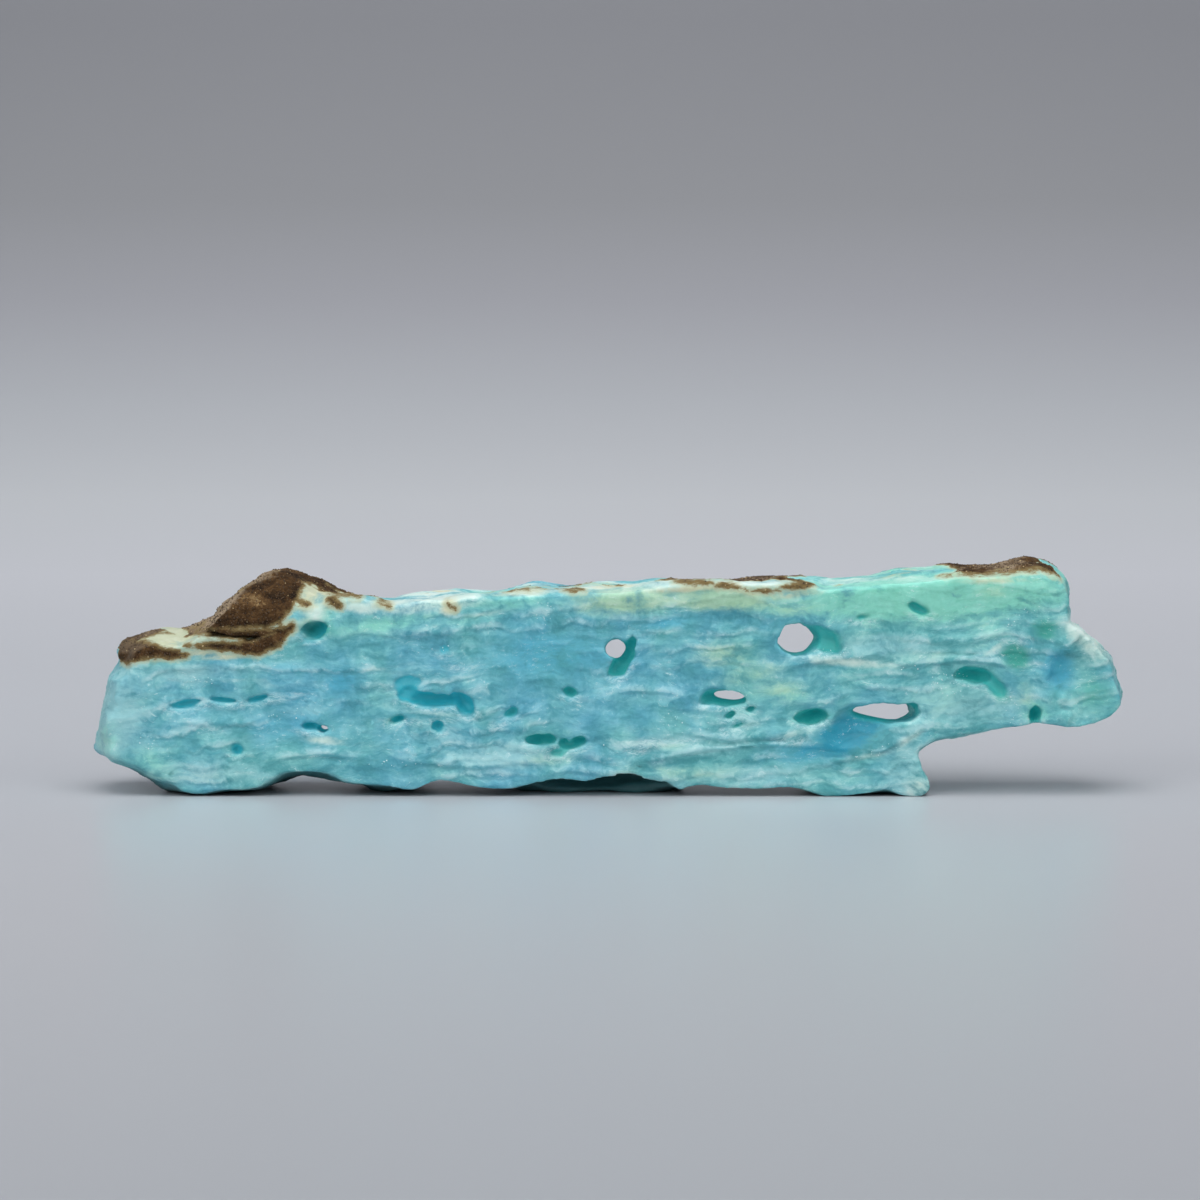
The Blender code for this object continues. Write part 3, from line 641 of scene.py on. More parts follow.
LEDGE_STROKES = [  # each a line of x, z and strength
    [(41.0, 18.6, 0.0), (44.0, 19.2, 0.9), (52.3, 19.9, 1.0), (57.4, 19.4, 0.9), (60.2, 18.0, 0.0)],
    [(25.0, 18.7, 0.0), (28.0, 19.2, 1.0), (32.5, 19.9, 1.2), (38.3, 20.4, 0.9), (43.0, 20.9, 0.0)],
    [(3.0, 4.6, 0.0), (7.0, 5.2, 0.9), (13.4, 6.6, 1.0), (22.2, 7.5, 0.9), (31.0, 7.1, 0.6),
     (40.0, 5.9, 0.0)],
    [(11.0, 9.3, 0.0), (14.0, 8.7, 0.8), (17.8, 8.1, 0.9), (25.1, 8.7, 0.8), (28.5, 9.2, 0.0)],
    [(-51.0, 4.8, 0.0), (-47.0, 5.6, 0.9), (-42.8, 6.1, 1.0), (-38.5, 5.7, 0.7), (-34.0, 5.0, 0.0)],
    [(-69.0, 18.9, 0.0), (-64.0, 18.6, 0.3), (-56.0, 18.8, 0.45), (-49.5, 18.0, 0.45), (-40.0, 19.2, 0.0)],
    [(-33.0, 5.5, 0.0), (-28.0, 4.8, 0.8), (-20.0, 4.1, 0.8), (-14.0, 4.6, 0.7), (-9.0, 5.4, 0.0)],
    [(-2.0, 14.2, 0.0), (3.0, 15.4, 0.8), (8.0, 15.2, 0.8), (13.0, 14.4, 0.0)],
    [(-42.0, 22.7, 0.0), (-36.0, 23.9, 0.5), (-30.0, 23.4, 0.6), (-24.0, 23.4, 0.5), (-18.0, 24.3, 0.0)],
    [(-12.0, 2.2, 0.0), (-6.0, 3.6, 1.0), (0.0, 3.0, 0.9), (6.0, 2.6, 0.8), (12.0, 1.8, 0.0)],
    [(30.0, 4.0, 0.0), (35.0, 5.2, 0.9), (40.0, 6.4, 0.9), (44.5, 8.6, 0.6), (46.0, 9.6, 0.0)],
    [(-66.0, 11.0, 0.0), (-60.0, 10.4, 0.6), (-54.0, 10.6, 0.6), (-48.0, 11.8, 0.0)],
    [(47.0, 22.6, 0.0), (53.0, 22.0, 0.5), (58.0, 24.0, 0.6), (61.0, 25.6, 0.0)],
]
FAR_AWAY = 9.0


def stroke_reach(points, stroke):
    """How far inside a stroke each point lies, in millimetres, seen along the slab's depth."""
    place = points[:, [0, 2]] / MM
    reach = np.full(len(points), -FAR_AWAY)
    for (x0, z0, half0), (x1, z1, half1) in zip(stroke, stroke[1:]):
        start = np.array((x0, z0))
        run = np.array((x1, z1)) - start
        share = np.clip((place - start) @ run / (run @ run), 0, 1)
        away = np.linalg.norm(place - start - share[:, None] * run, axis=1)
        reach = np.maximum(reach, half0 + (half1 - half0) * share - away)
    return reach


def crust_reach(points):
    """How far inside the nearest stroke of crust each point lies, in millimetres."""
    return np.max([stroke_reach(points, stroke) for stroke in CRUST_STROKES], axis=0)


def nearest_ledge(points):
    """Height above the nearest ledge line in millimetres, and how strong that ledge is."""
    x = points[:, 0] / MM
    z = points[:, 2] / MM
    height = np.full(len(points), FAR_AWAY)
    strength = np.zeros(len(points))
    for stroke in LEDGE_STROKES:
        xs, zs, strengths = zip(*stroke)
        above = z - np.interp(x, xs, zs)
        here = np.interp(x, xs, strengths, left=0.0, right=0.0)
        nearer = (here > 0) & (np.abs(above) < np.abs(height))
        height = np.where(nearer, above, height)
        strength = np.where(nearer, here, strength)
    return height, strength


print("strokes", len(CRUST_STROKES) + len(LEDGE_STROKES))

# %% Store the zones on the mesh
TOP_COVER = [  # x, and how much of the natural top the crust covers there
    (-77, 0.7), (-69, 0.9), (-67, 0.3), (-65, 0.3), (-63, 1.0), (-45, 1.0), (-42, 0.7), (-38, 0.7),
    (-34, 0.4), (-31, 0.15), (-17, 0.1), (-15, 0.6), (-4, 0.5), (-2, 0.1), (0, 0.5), (4, 0.3), (8, 0.6),
    (12, 1.0), (29, 1.0), (31, 0.15), (40, 0.1), (43, 0.5), (47, 0.3), (52, 0.9), (65, 1.0), (67, 0.1),
    (77, 0.0),
]
HOLLOW_MARGIN = 0.3
WINDOW_MARGIN = 0.4
RIM_WIDTH = 0.22
CRUST_NARROWS_BY = 1.6
HOLLOW_FADE_NEAR_CRUST = 0.8
WANDER_SIDEWAYS = [(2.6, 0.45, 0.16), (1.4, 1.1, 0.5)]  # swing, and turn for each mm inwards and along
WANDER_UPWARDS = [(1.3, 0.6, 0.1), (0.6, 1.7, 0.3)]


def hollow_depth(points):
    """Two values: 1 on the walls and floor of a hollow, and 1 on the open face along its lower rim."""
    from_front = (points[:, 1] - FRONT) / MM
    from_back = (BACK - points[:, 1]) / MM
    deepest = np.zeros(len(points))
    rim = np.zeros(len(points))
    for hollows, inward in ((FRONT_HOLLOWS, from_front), (BACK_HOLLOWS, from_back)):
        lowered = points.copy()
        lowered[:, 2] -= HOLLOW_CLIMB * np.maximum(inward, 0) * MM
        for x, z, half_length, half_height, depth, turn in hollows.values():
            inside = inwards(lowered, x, z, half_length + HOLLOW_MARGIN, half_height + HOLLOW_MARGIN, turn)
            near = 1 - stepped(np.hypot(1 - inside, inward / (depth + HOLLOW_MARGIN)), 1.0, 1.25)
            # deepest later carries the painted tint and glow of the hollows
            deepest = np.maximum(deepest, near * stepped(inward, 0.1, min(2.0, 0.7 * depth)))
            # rim marks the lower lip, later whitened: partly pale broken stone, partly painted highlight
            # where it faces the light
            below = stepped(z - points[:, 2] / MM, 0.0, half_height) * (inward < 0.8)
            rim = np.maximum(rim, np.exp(-((-inside * half_height - 0.1) / RIM_WIDTH) ** 2) * below)
    stations = (0.0, THROAT / MM, (BACK - FRONT) / MM)
    for window in WINDOWS.values():
        x, z, half_width, half_height = (np.interp(from_front, stations, sizes) for sizes in zip(*window))
        aside = (points[:, 0] / MM - x) / (half_width + WINDOW_MARGIN)
        above = (points[:, 2] / MM - z) / (half_height + WINDOW_MARGIN)
        near = 1 - stepped(np.hypot(aside, above), 1.0, 1.3)
        deepest = np.maximum(deepest, near * stepped(np.minimum(from_front, from_back), 0.2, 3.0))
    return deepest, rim


def underside(points):
    """1 low down between the faces, where the shade under the stone is painted in, and 0 elsewhere."""
    from_face = (BACK - np.abs(points[:, 1])) / MM
    low_down = 1 - stepped(points[:, 2] / MM, 2.5, 5.0)
    near_table = 1 - stepped(points[:, 2] / MM, 1.0, 2.4)
    return np.maximum(low_down * stepped(from_face, 1.2, 3.5), near_table * stepped(from_face, 0.3, 0.9))


def wandered(points):
    """The points moved up and down and sideways by amounts that change with depth behind the front face.
    What is drawn on that face then wanders where it crosses the natural edges."""
    x = points[:, 0] / MM
    inward = (points[:, 1] - FRONT) / MM
    grown = stepped(inward, 2.0, 9.0) * MM
    moved = points.copy()
    for axis, waves in ((0, WANDER_SIDEWAYS), (2, WANDER_UPWARDS)):
        for swing, turn_inwards, turn_along in waves:
            moved[:, axis] += grown * swing * np.sin(turn_inwards * inward + turn_along * x)
    return moved


def remember(mesh, name, values):
    """Stores one number for each point of the mesh under a name that nodes can read."""
    attribute = mesh.attributes.new(name, "FLOAT", "POINT")
    attribute.data.foreach_set("value", values.astype(np.float32))


points = mesh_points(stone.data)
wandering = wandered(points)
above_line, line_strength = nearest_ledge(points)
hollow, rim = hollow_depth(points)
for name, ovals in ZONES.items():
    remember(stone.data, name, zone(wandering, ovals))
remember(stone.data, "above_line", above_line)
remember(stone.data, "line_strength", line_strength)
remember(stone.data, "cover", np.interp(wandering[:, 0] / MM, *zip(*TOP_COVER)))
narrower = CRUST_NARROWS_BY * stepped(points[:, 1] / MM, -7.0, 3.0)
remember(stone.data, "crust_reach", crust_reach(wandering) - narrower)
# Near the crust, the hollow value that carries the painted tint, the glow and the smoothing of hollows is
# weakened.
faded_near_crust = HOLLOW_FADE_NEAR_CRUST * stepped(crust_reach(points), -4.5, -1.5)
remember(stone.data, "hollow", hollow * (1 - faded_near_crust))
remember(stone.data, "rim", rim)
remember(stone.data, "underside", underside(points))
print("points in a hollow", int(np.sum(hollow > 0.5)), "of", len(points))

# %% [markdown]
# ## Ledges between the layers
# Sawing and weather cut the layers at slightly different depths, so the face has low wavy ledges,
# each with a lip above a thin shadow. They follow a rule: take the height of a point across the layers,
# bend it with slow noise, and count layers. Within each layer the surface falls back upwards, and at
# the next layer it jumps out again. The drawn ledges, a few low lumps and the crust's sandy rise are added,
# and a Geometry Nodes tree moves every point along its normal by the sum. A noise's scale counts its waves
# in a metre, so 70 bends a layer about every 14 mm, 230 ripples it every 4 mm, and 800 frays the crust's
# edge every 1.2 mm.

# %% Ledges of the layers
WEATHERING = {
    "Layer thickness": 2.5 * MM, "Ledge height": 0.2 * MM, "Fine ledge height": 0.08 * MM,
    "Drawn ledge height": 0.38 * MM, "Layer waviness": 2.8 * MM, "Layer slope": 0.045,
    "Lump width": 4.5 * MM, "Lump height": 0.55 * MM, "Edge roughness": 1.1, "Crust height": 0.55 * MM,
}
BEND_SCALE = 70.0
RIPPLE_SCALE = 230.0
PRESENCE_SCALE = 170.0


def counted_layers(tree, given, place, parts):
    """The height across the layers, bent and rippled by noise and counted in layers, and that ripple."""
    sloped = add(tree, "ShaderNodeMath", {0: parts["X"], 1: given["Layer slope"]}, operation="MULTIPLY")
    level = add(tree, "ShaderNodeMath", {0: parts["Z"], 1: sloped}, operation="SUBTRACT")
    bend = add(tree, "ShaderNodeTexNoise", {"Vector": place, "Scale": BEND_SCALE, "Detail": 1.0})
    ripple = add(tree, "ShaderNodeTexNoise", {"Vector": place, "Scale": RIPPLE_SCALE, "Detail": 4.0})
    sway = add(tree, "ShaderNodeMath", {0: ripple, 1: 0.75, 2: bend}, operation="MULTIPLY_ADD")
    swayed = add(tree, "ShaderNodeMath", {0: sway, 1: given["Layer waviness"]}, operation="MULTIPLY")
    lifted = add(tree, "ShaderNodeMath", {0: swayed, 1: 2.0, 2: level}, operation="MULTIPLY_ADD")
    count = add(tree, "ShaderNodeMath", {0: lifted, 1: given["Layer thickness"]}, operation="DIVIDE")
    return count, ripple


def layer_ledges(tree, given, count, ripple, present):
    """A ledge for each counted layer that is present, and finer ledges in the space between."""
    within = add(tree, "ShaderNodeMath", {0: count}, operation="FRACT")
    lip = add(tree, "ShaderNodeMapRange", {"Value": within, "From Max": 0.3}, interpolation_type="SMOOTHSTEP")
    fall = add(tree, "ShaderNodeMapRange", {"Value": within, "From Min": 1.0, "From Max": 0.2})
    ledge = add(tree, "ShaderNodeMath", {0: lip, 1: fall}, operation="MULTIPLY")
    seen = add(tree, "ShaderNodeMath", {0: ledge, 1: present}, operation="MULTIPLY")
    ledges = add(tree, "ShaderNodeMath", {0: seen, 1: given["Ledge height"]}, operation="MULTIPLY")
    rippled = add(tree, "ShaderNodeMath", {0: count, 1: 2.7, 2: ripple}, operation="MULTIPLY_ADD")
    fine = add(tree, "ShaderNodeMath", {0: rippled}, operation="FRACT")
    fine_rise = add(tree, "ShaderNodeMapRange", {"Value": fine, "From Min": 0.8, "From Max": 0.1},
                    interpolation_type="SMOOTHSTEP")
    return add(tree, "ShaderNodeMath", {0: fine_rise, 1: given["Fine ledge height"], 2: ledges},
               operation="MULTIPLY_ADD")


def drawn_ledges(tree, given, stored, ledges):
    """The ledges so far with the drawn ones on top."""
    lip = add(tree, "ShaderNodeMapRange", {"Value": stored["above_line"], "From Min": -0.15, "From Max": 0.4},
              interpolation_type="SMOOTHSTEP")
    fall = add(tree, "ShaderNodeMapRange", {"Value": stored["above_line"], "From Min": 2.2, "From Max": 0.3},
               interpolation_type="SMOOTHSTEP")
    drawn = add(tree, "ShaderNodeMath", {0: lip, 1: fall}, operation="MULTIPLY")
    strong = add(tree, "ShaderNodeMath", {0: drawn, 1: stored["line_strength"]}, operation="MULTIPLY")
    return add(tree, "ShaderNodeMath", {0: strong, 1: given["Drawn ledge height"], 2: ledges},
               operation="MULTIPLY_ADD")


print("weathering inputs", len(WEATHERING))

# %% Lumps and crust
COVER_SCALE = 160.0
FRAY_SCALE = 800.0
SAND_SCALE = 600.0


def lumpy_rise(tree, given, stretched, faces, ledges):
    """The ledges with low lumps on them, which are higher on the natural edges than on the sawn faces."""
    lump_scale = add(tree, "ShaderNodeMath", {0: 1.0, 1: given["Lump width"]}, operation="DIVIDE")
    lumps = add(tree, "ShaderNodeTexNoise", {"Vector": stretched, "Scale": lump_scale, "Detail": 5.0,
                                             "Roughness": 0.62})
    centred = add(tree, "ShaderNodeMath", {0: lumps, 1: 0.5}, operation="SUBTRACT")
    aside = add(tree, "ShaderNodeMath", {0: faces["Y"]}, operation="ABSOLUTE")
    natural = add(tree, "ShaderNodeMapRange", {"Value": aside, "From Min": 0.9, "From Max": 0.4,
                                               "To Min": 1.0, "To Max": given["Edge roughness"]})
    rougher = add(tree, "ShaderNodeMath", {0: centred, 1: natural}, operation="MULTIPLY")
    return add(tree, "ShaderNodeMath", {0: rougher, 1: given["Lump height"], 2: ledges},
               operation="MULTIPLY_ADD")


def crust_value(tree, place, parts, faces, stored, opened):
    """How deep in the crust a point is: in the drawn strokes, or in a broken cover on the natural top."""
    up = add(tree, "ShaderNodeMapRange", {"Value": faces["Z"], "From Min": 0.25, "From Max": 0.7})
    high_up = add(tree, "ShaderNodeMapRange", {"Value": parts["Z"], "From Min": 16.0 * MM,
                                               "From Max": 21.0 * MM})
    behind = add(tree, "ShaderNodeMapRange", {"Value": parts["Y"], "From Min": FRONT + 1.5 * MM,
                                              "From Max": FRONT + 4.5 * MM})
    top = add(tree, "ShaderNodeMath", {0: up, 1: high_up}, operation="MULTIPLY")
    top_behind = add(tree, "ShaderNodeMath", {0: top, 1: behind}, operation="MULTIPLY")
    top_open = add(tree, "ShaderNodeMath", {0: top_behind, 1: opened}, operation="MULTIPLY")
    top_reach = add(tree, "ShaderNodeMapRange", {"Value": top_open, "To Min": -6.0, "To Max": -0.6})
    patches = add(tree, "ShaderNodeTexNoise", {"Vector": place, "Scale": COVER_SCALE, "Detail": 4.0,
                                               "Roughness": 0.6})
    covered = add(tree, "ShaderNodeMath", {0: stored["cover"], 1: 0.45, 2: patches}, operation="MULTIPLY_ADD")
    patchy = add(tree, "ShaderNodeMath", {0: covered, 1: 0.72}, operation="SUBTRACT")
    spread = add(tree, "ShaderNodeMath", {0: patchy, 1: 9.0, 2: top_reach}, operation="MULTIPLY_ADD")
    wider = add(tree, "ShaderNodeMath", {0: stored["crust_reach"], 1: spread}, operation="MAXIMUM")
    fray = add(tree, "ShaderNodeTexNoise", {"Vector": place, "Scale": FRAY_SCALE, "Detail": 3.0})
    frayed = add(tree, "ShaderNodeMath", {0: fray, 1: 0.5}, operation="SUBTRACT")
    return add(tree, "ShaderNodeMath", {0: frayed, 1: 1.3, 2: wider}, operation="MULTIPLY_ADD")


def sandy_rise(tree, place, crust):
    """The crust's uneven thickness, in shares of its height."""
    crusted = add(tree, "ShaderNodeMapRange", {"Value": crust, "From Min": -0.2, "From Max": 0.5},
                  interpolation_type="SMOOTHSTEP")
    sand = add(tree, "ShaderNodeTexNoise", {"Vector": place, "Scale": SAND_SCALE, "Detail": 4.0,
                                            "Roughness": 0.7})
    sandy = add(tree, "ShaderNodeMath", {0: sand, 1: 0.3}, operation="SUBTRACT")
    return add(tree, "ShaderNodeMath", {0: sandy, 1: crusted}, operation="MULTIPLY")


print("noise scales", BEND_SCALE, RIPPLE_SCALE, PRESENCE_SCALE, COVER_SCALE, FRAY_SCALE, SAND_SCALE)


# %% Weathering tree
def weathering_tree(sizes):
    tree = bpy.data.node_groups.new("weathering", "GeometryNodeTree")
    tree.interface.new_socket("Geometry", in_out="INPUT", socket_type="NodeSocketGeometry")
    tree.interface.new_socket("Geometry", in_out="OUTPUT", socket_type="NodeSocketGeometry")
    for name in sizes:
        tree.interface.new_socket(name, in_out="INPUT", socket_type="NodeSocketFloat")
    tree.interface.new_socket("Finish", in_out="INPUT", socket_type="NodeSocketMaterial")
    given = add(tree, "NodeGroupInput").outputs
    place = add(tree, "GeometryNodeInputPosition")
    normal = add(tree, "GeometryNodeInputNormal")
    parts = add(tree, "ShaderNodeSeparateXYZ", {0: place}).outputs
    faces = add(tree, "ShaderNodeSeparateXYZ", {0: normal}).outputs
    stored = {name: add(tree, "GeometryNodeInputNamedAttribute", {"Name": name}, data_type="FLOAT").outputs[0]
              for name in ("above_line", "line_strength", "cover", "crust_reach", "hollow")}

    # Layers come and go along the slab
    stretched = add(tree, "ShaderNodeVectorMath", {0: place, 1: (0.45, 1.0, 1.3)}, operation="MULTIPLY")
    coming = add(tree, "ShaderNodeTexNoise", {"Vector": stretched, "Scale": PRESENCE_SCALE, "Detail": 2.0})
    present = add(tree, "ShaderNodeMapRange", {"Value": coming, "From Min": 0.44, "From Max": 0.60},
                  interpolation_type="SMOOTHSTEP")
    count, ripple = counted_layers(tree, given, place, parts)
    ledges = layer_ledges(tree, given, count, ripple, present)
    ledges = drawn_ledges(tree, given, stored, ledges)

    # Hollows stay nearly smooth
    weathered = lumpy_rise(tree, given, stretched, faces, ledges)
    opened = add(tree, "ShaderNodeMath", {0: stored["hollow"], 1: -0.85, 2: 1.0}, operation="MULTIPLY_ADD")
    stone_rise = add(tree, "ShaderNodeMath", {0: weathered, 1: opened}, operation="MULTIPLY")
    crust = crust_value(tree, place, parts, faces, stored, opened)
    raised = sandy_rise(tree, place, crust)

    # All of it moves the surface along its normal, but not at the feet, and nothing sinks into the table
    total = add(tree, "ShaderNodeMath", {0: raised, 1: given["Crust height"], 2: stone_rise},
                operation="MULTIPLY_ADD")
    above_feet = add(tree, "ShaderNodeMapRange", {"Value": parts["Z"], "From Min": 0.2 * MM,
                                                  "From Max": 1.2 * MM})
    freed = add(tree, "ShaderNodeMath", {0: total, 1: above_feet}, operation="MULTIPLY")
    offset = add(tree, "ShaderNodeVectorMath", {0: normal, "Scale": freed}, operation="SCALE")
    moved = add(tree, "ShaderNodeVectorMath", {0: place, 1: offset}, operation="ADD")
    on_table = add(tree, "ShaderNodeVectorMath", {0: moved, 1: (-1.0, -1.0, 0.0)}, operation="MAXIMUM")
    kept = given["Geometry"]
    for name, value in (("layer", count), ("present", present), ("crust", crust)):
        kept = add(tree, "GeometryNodeStoreNamedAttribute", {"Geometry": kept, "Name": name, "Value": value})
    placed = add(tree, "GeometryNodeSetPosition", {"Geometry": kept, "Position": on_table})
    whole = add(tree, "GeometryNodeRealizeInstances", {"Geometry": placed})
    finished = add(tree, "GeometryNodeSetMaterial", {"Geometry": whole, "Material": given["Finish"]})
    add(tree, "NodeGroupOutput", {"Geometry": finished})
    return tree


def run_tree(thing, tree, values):
    """Gives the object the tree with these inputs, and keeps the result as a plain mesh."""
    modifier = thing.modifiers.new(tree.name, "NODES")
    modifier.node_group = tree
    for item in tree.interface.items_tree:
        if item.in_out == "INPUT" and item.name in values:
            modifier[item.identifier] = values[item.name]
    return evaluated_mesh(thing)


weathering = weathering_tree(WEATHERING)
print("weathering nodes", len(weathering.nodes))

# %% [markdown]
# ## Stone and crust in one material
# Blue aragonite is a carbonate, sawn and lightly smoothed. Light goes a few millimetres into it and
# comes back, so it glows softly and looks waxy, and its refractive index is about 1.6. Its layers show
# as pale wisps in aqua. Along each ledge a white lip, partly pale stone and partly painted highlight, sits
# above a thin painted shadow line. The crust is dry, sandy iron stone with no gloss at all. The two meet in a
# frayed cream margin, so one material holds both and
# the stored crust value decides between them. The stone's colour is put together from noises in steps:
# banding, lips and lines, zones, white flecks and rims (partly painted highlight), then hollows, whose deeper
# tint and glow are painted light, and the painted shade low under the stone. Their scales are waves in a
# metre again, so 90, 260 and 640 make patches of about 11, 4 and 1.6 mm.

# %% Noises of the stone
DRIFT_SCALE = 90.0
CLOUD_SCALE = 260.0
BENT_BY = (0.008, 0.008, 0.008)
LAYER_SCALES = (190.0, 300.0, 640.0)
FIBRE_SCALES = (1300.0, 1300.0, 230.0)


def stone_noises(tree, place):
    """The noises that every step of the stone's colour shares, on bent coordinates."""
    drift = add(tree, "ShaderNodeTexNoise", {"Vector": place, "Scale": DRIFT_SCALE, "Detail": 5.0,
                                             "Roughness": 0.6})
    centred = add(tree, "ShaderNodeVectorMath", {0: drift.outputs["Color"], 1: (0.5, 0.5, 0.5)},
                  operation="SUBTRACT")
    bent = add(tree, "ShaderNodeVectorMath", {0: centred, 1: BENT_BY, 2: place}, operation="MULTIPLY_ADD")
    laid = add(tree, "ShaderNodeMapping", {"Vector": bent, "Rotation": (0.0, 0.045, 0.0),
                                           "Scale": LAYER_SCALES})
    layers = add(tree, "ShaderNodeTexNoise", {"Vector": laid, "Scale": 1.0, "Detail": 6.0, "Roughness": 0.62})
    clouds = add(tree, "ShaderNodeTexNoise", {"Vector": bent, "Scale": CLOUD_SCALE, "Detail": 6.0,
                                              "Roughness": 0.62})
    sugar = add(tree, "ShaderNodeTexNoise", {"Vector": laid, "Scale": 5.0, "Detail": 6.0, "Roughness": 0.8})
    mixed = add(tree, "ShaderNodeMath", {0: layers, 1: clouds}, operation="ADD")
    return {"drift": drift.outputs["Fac"], "bent": bent, "clouds": clouds, "sugar": sugar, "mixed": mixed}


print("bent by up to", BENT_BY[0] / 2 / MM, "mm")


# %% Banding
BLUES = [(0.42, "#4ea5b3"), (0.52, "#66b6c2"), (0.60, "#7dc4cd"), (0.68, "#99d4da"), (0.80, "#cbebec")]
BLUER = "#e2f2ff"
GREENER = "#f8fff4"


def banded_blue(tree, place, stored, noises):
    """The banded blue and its grain. Each layer has its own tone, and the noises shade it further."""
    which = add(tree, "ShaderNodeMath", {0: stored["layer"]}, operation="FLOOR")
    own = add(tree, "ShaderNodeTexWhiteNoise", {"W": which}, noise_dimensions="1D")
    tone = add(tree, "ShaderNodeMath", {0: own, 1: 0.05, 2: -0.025}, operation="MULTIPLY_ADD")
    banded = add(tree, "ShaderNodeMath", {0: noises["mixed"], 1: 0.5, 2: tone}, operation="MULTIPLY_ADD")

    # Crystals stand across the layers under the upper edge, and show there as upright fibres
    upright = add(tree, "ShaderNodeMapping", {"Vector": noises["bent"], "Scale": FIBRE_SCALES})
    fibres = add(tree, "ShaderNodeTexNoise", {"Vector": upright, "Scale": 1.0, "Detail": 4.0})
    centred = add(tree, "ShaderNodeMath", {0: fibres, 1: 0.5}, operation="SUBTRACT")
    height = add(tree, "ShaderNodeSeparateXYZ", {0: noises["bent"]}).outputs["Z"]
    upper = add(tree, "ShaderNodeMapRange", {"Value": height, "From Min": 20.0 * MM, "From Max": 27.0 * MM,
                                             "To Max": 0.2})
    fibred = add(tree, "ShaderNodeMath", {0: centred, 1: upper, 2: banded}, operation="MULTIPLY_ADD")
    grainy = add(tree, "ShaderNodeMath", {0: noises["sugar"], 1: 0.12, 2: fibred}, operation="MULTIPLY_ADD")
    base = add(tree, "ShaderNodeValToRGB", {"Fac": grainy}, BLUES)

    # The hue drifts between a bluer and a greener tone, and is greener towards the right end
    aside = add(tree, "ShaderNodeSeparateXYZ", {0: place}).outputs["X"]
    right_end = add(tree, "ShaderNodeMapRange", {"Value": aside, "From Min": 5.0 * MM,
                                                 "From Max": 45.0 * MM, "To Max": 0.5})
    drifted = add(tree, "ShaderNodeMapRange", {"Value": noises["drift"], "From Min": 0.36,
                                               "From Max": 0.64})
    hue = add(tree, "ShaderNodeMath", {0: drifted, 1: right_end}, operation="ADD", use_clamp=True)
    tint = add(tree, "ShaderNodeMix", {0: hue, 6: colour(BLUER), 7: colour(GREENER)}, data_type="RGBA")
    tinted = add(tree, "ShaderNodeMix", {0: 1.0, 6: base.outputs["Color"], 7: tint.outputs[2]},
                 data_type="RGBA", blend_type="MULTIPLY")
    return tinted.outputs[2], grainy


print("tones of the banding", len(BLUES))

# %% Lips and lines of the ledges, painted as highlight and shadow
# Painted highlight on the lips and painted shadow on the step under each ledge.
PALE_LIT_LIP = ("#cfeff1", 0.5)
PAINTED_SHADOW_LINE = ("#3a8fa2", 0.35)


def lipped(tree, stored, noises, coloured):
    """A painted shadow line where each layer steps out, and above it a white lip, partly pale stone and
    partly painted highlight, for counted and drawn ledges.
    """
    shaken = add(tree, "ShaderNodeMath", {0: noises["sugar"], 1: 0.16, 2: stored["layer"]},
                 operation="MULTIPLY_ADD")
    within = add(tree, "ShaderNodeMath", {0: shaken}, operation="FRACT")
    off_line = add(tree, "ShaderNodeMath", {0: stored["above_line"]}, operation="ABSOLUTE")
    ramps = {}
    for name, value, start, end in (("top", within, 0.7, 0.3), ("foot", within, 0.12, 0.3),
                                    ("line", within, 0.2, 0.02), ("drawn_line", off_line, 0.35, 0.05),
                                    ("drawn_top", stored["above_line"], 1.6, 0.5),
                                    ("drawn_foot", stored["above_line"], 0.15, 0.45),
                                    ("broken", noises["clouds"], 0.40, 0.58)):
        ramps[name] = add(tree, "ShaderNodeMapRange", {"Value": value, "From Min": start, "From Max": end},
                          interpolation_type="SMOOTHSTEP")
    lip = add(tree, "ShaderNodeMath", {0: ramps["top"], 1: ramps["foot"]}, operation="MULTIPLY")
    drawn_lip = add(tree, "ShaderNodeMath", {0: ramps["drawn_top"], 1: ramps["drawn_foot"]},
                    operation="MULTIPLY")
    marks = ((lip, drawn_lip, PALE_LIT_LIP), (ramps["line"], ramps["drawn_line"], PAINTED_SHADOW_LINE))
    for counted, drawn, (code, strength) in marks:
        from_layers = add(tree, "ShaderNodeMath", {0: counted, 1: stored["present"]}, operation="MULTIPLY")
        from_strokes = add(tree, "ShaderNodeMath", {0: drawn, 1: stored["line_strength"]},
                           operation="MULTIPLY")
        either = add(tree, "ShaderNodeMath", {0: from_layers, 1: from_strokes}, operation="MAXIMUM")
        patchy = add(tree, "ShaderNodeMath", {0: either, 1: ramps["broken"]}, operation="MULTIPLY")
        share = add(tree, "ShaderNodeMath", {0: patchy, 1: strength}, operation="MULTIPLY", use_clamp=True)
        coloured = add(tree, "ShaderNodeMix", {0: share, 6: coloured, 7: colour(code)},
                       data_type="RGBA").outputs[2]
    return coloured


print("lip", PALE_LIT_LIP, "line", PAINTED_SHADOW_LINE)

# %% Zone colours
ZONE_COLOURS = {  # from the lowest to the uppermost, with how strongly each covers
    "pale": ("#a5d6d9", 0.7), "blue": ("#36a9c9", 0.8), "deep": ("#0c96b0", 0.95), "mint": ("#93e0c9", 0.8),
    "emerald": ("#2ca294", 0.9), "olive": ("#bcdcb4", 0.75), "cream": ("#d6ece3", 0.9),
    "straw": ("#d6d2ae", 0.8),
}


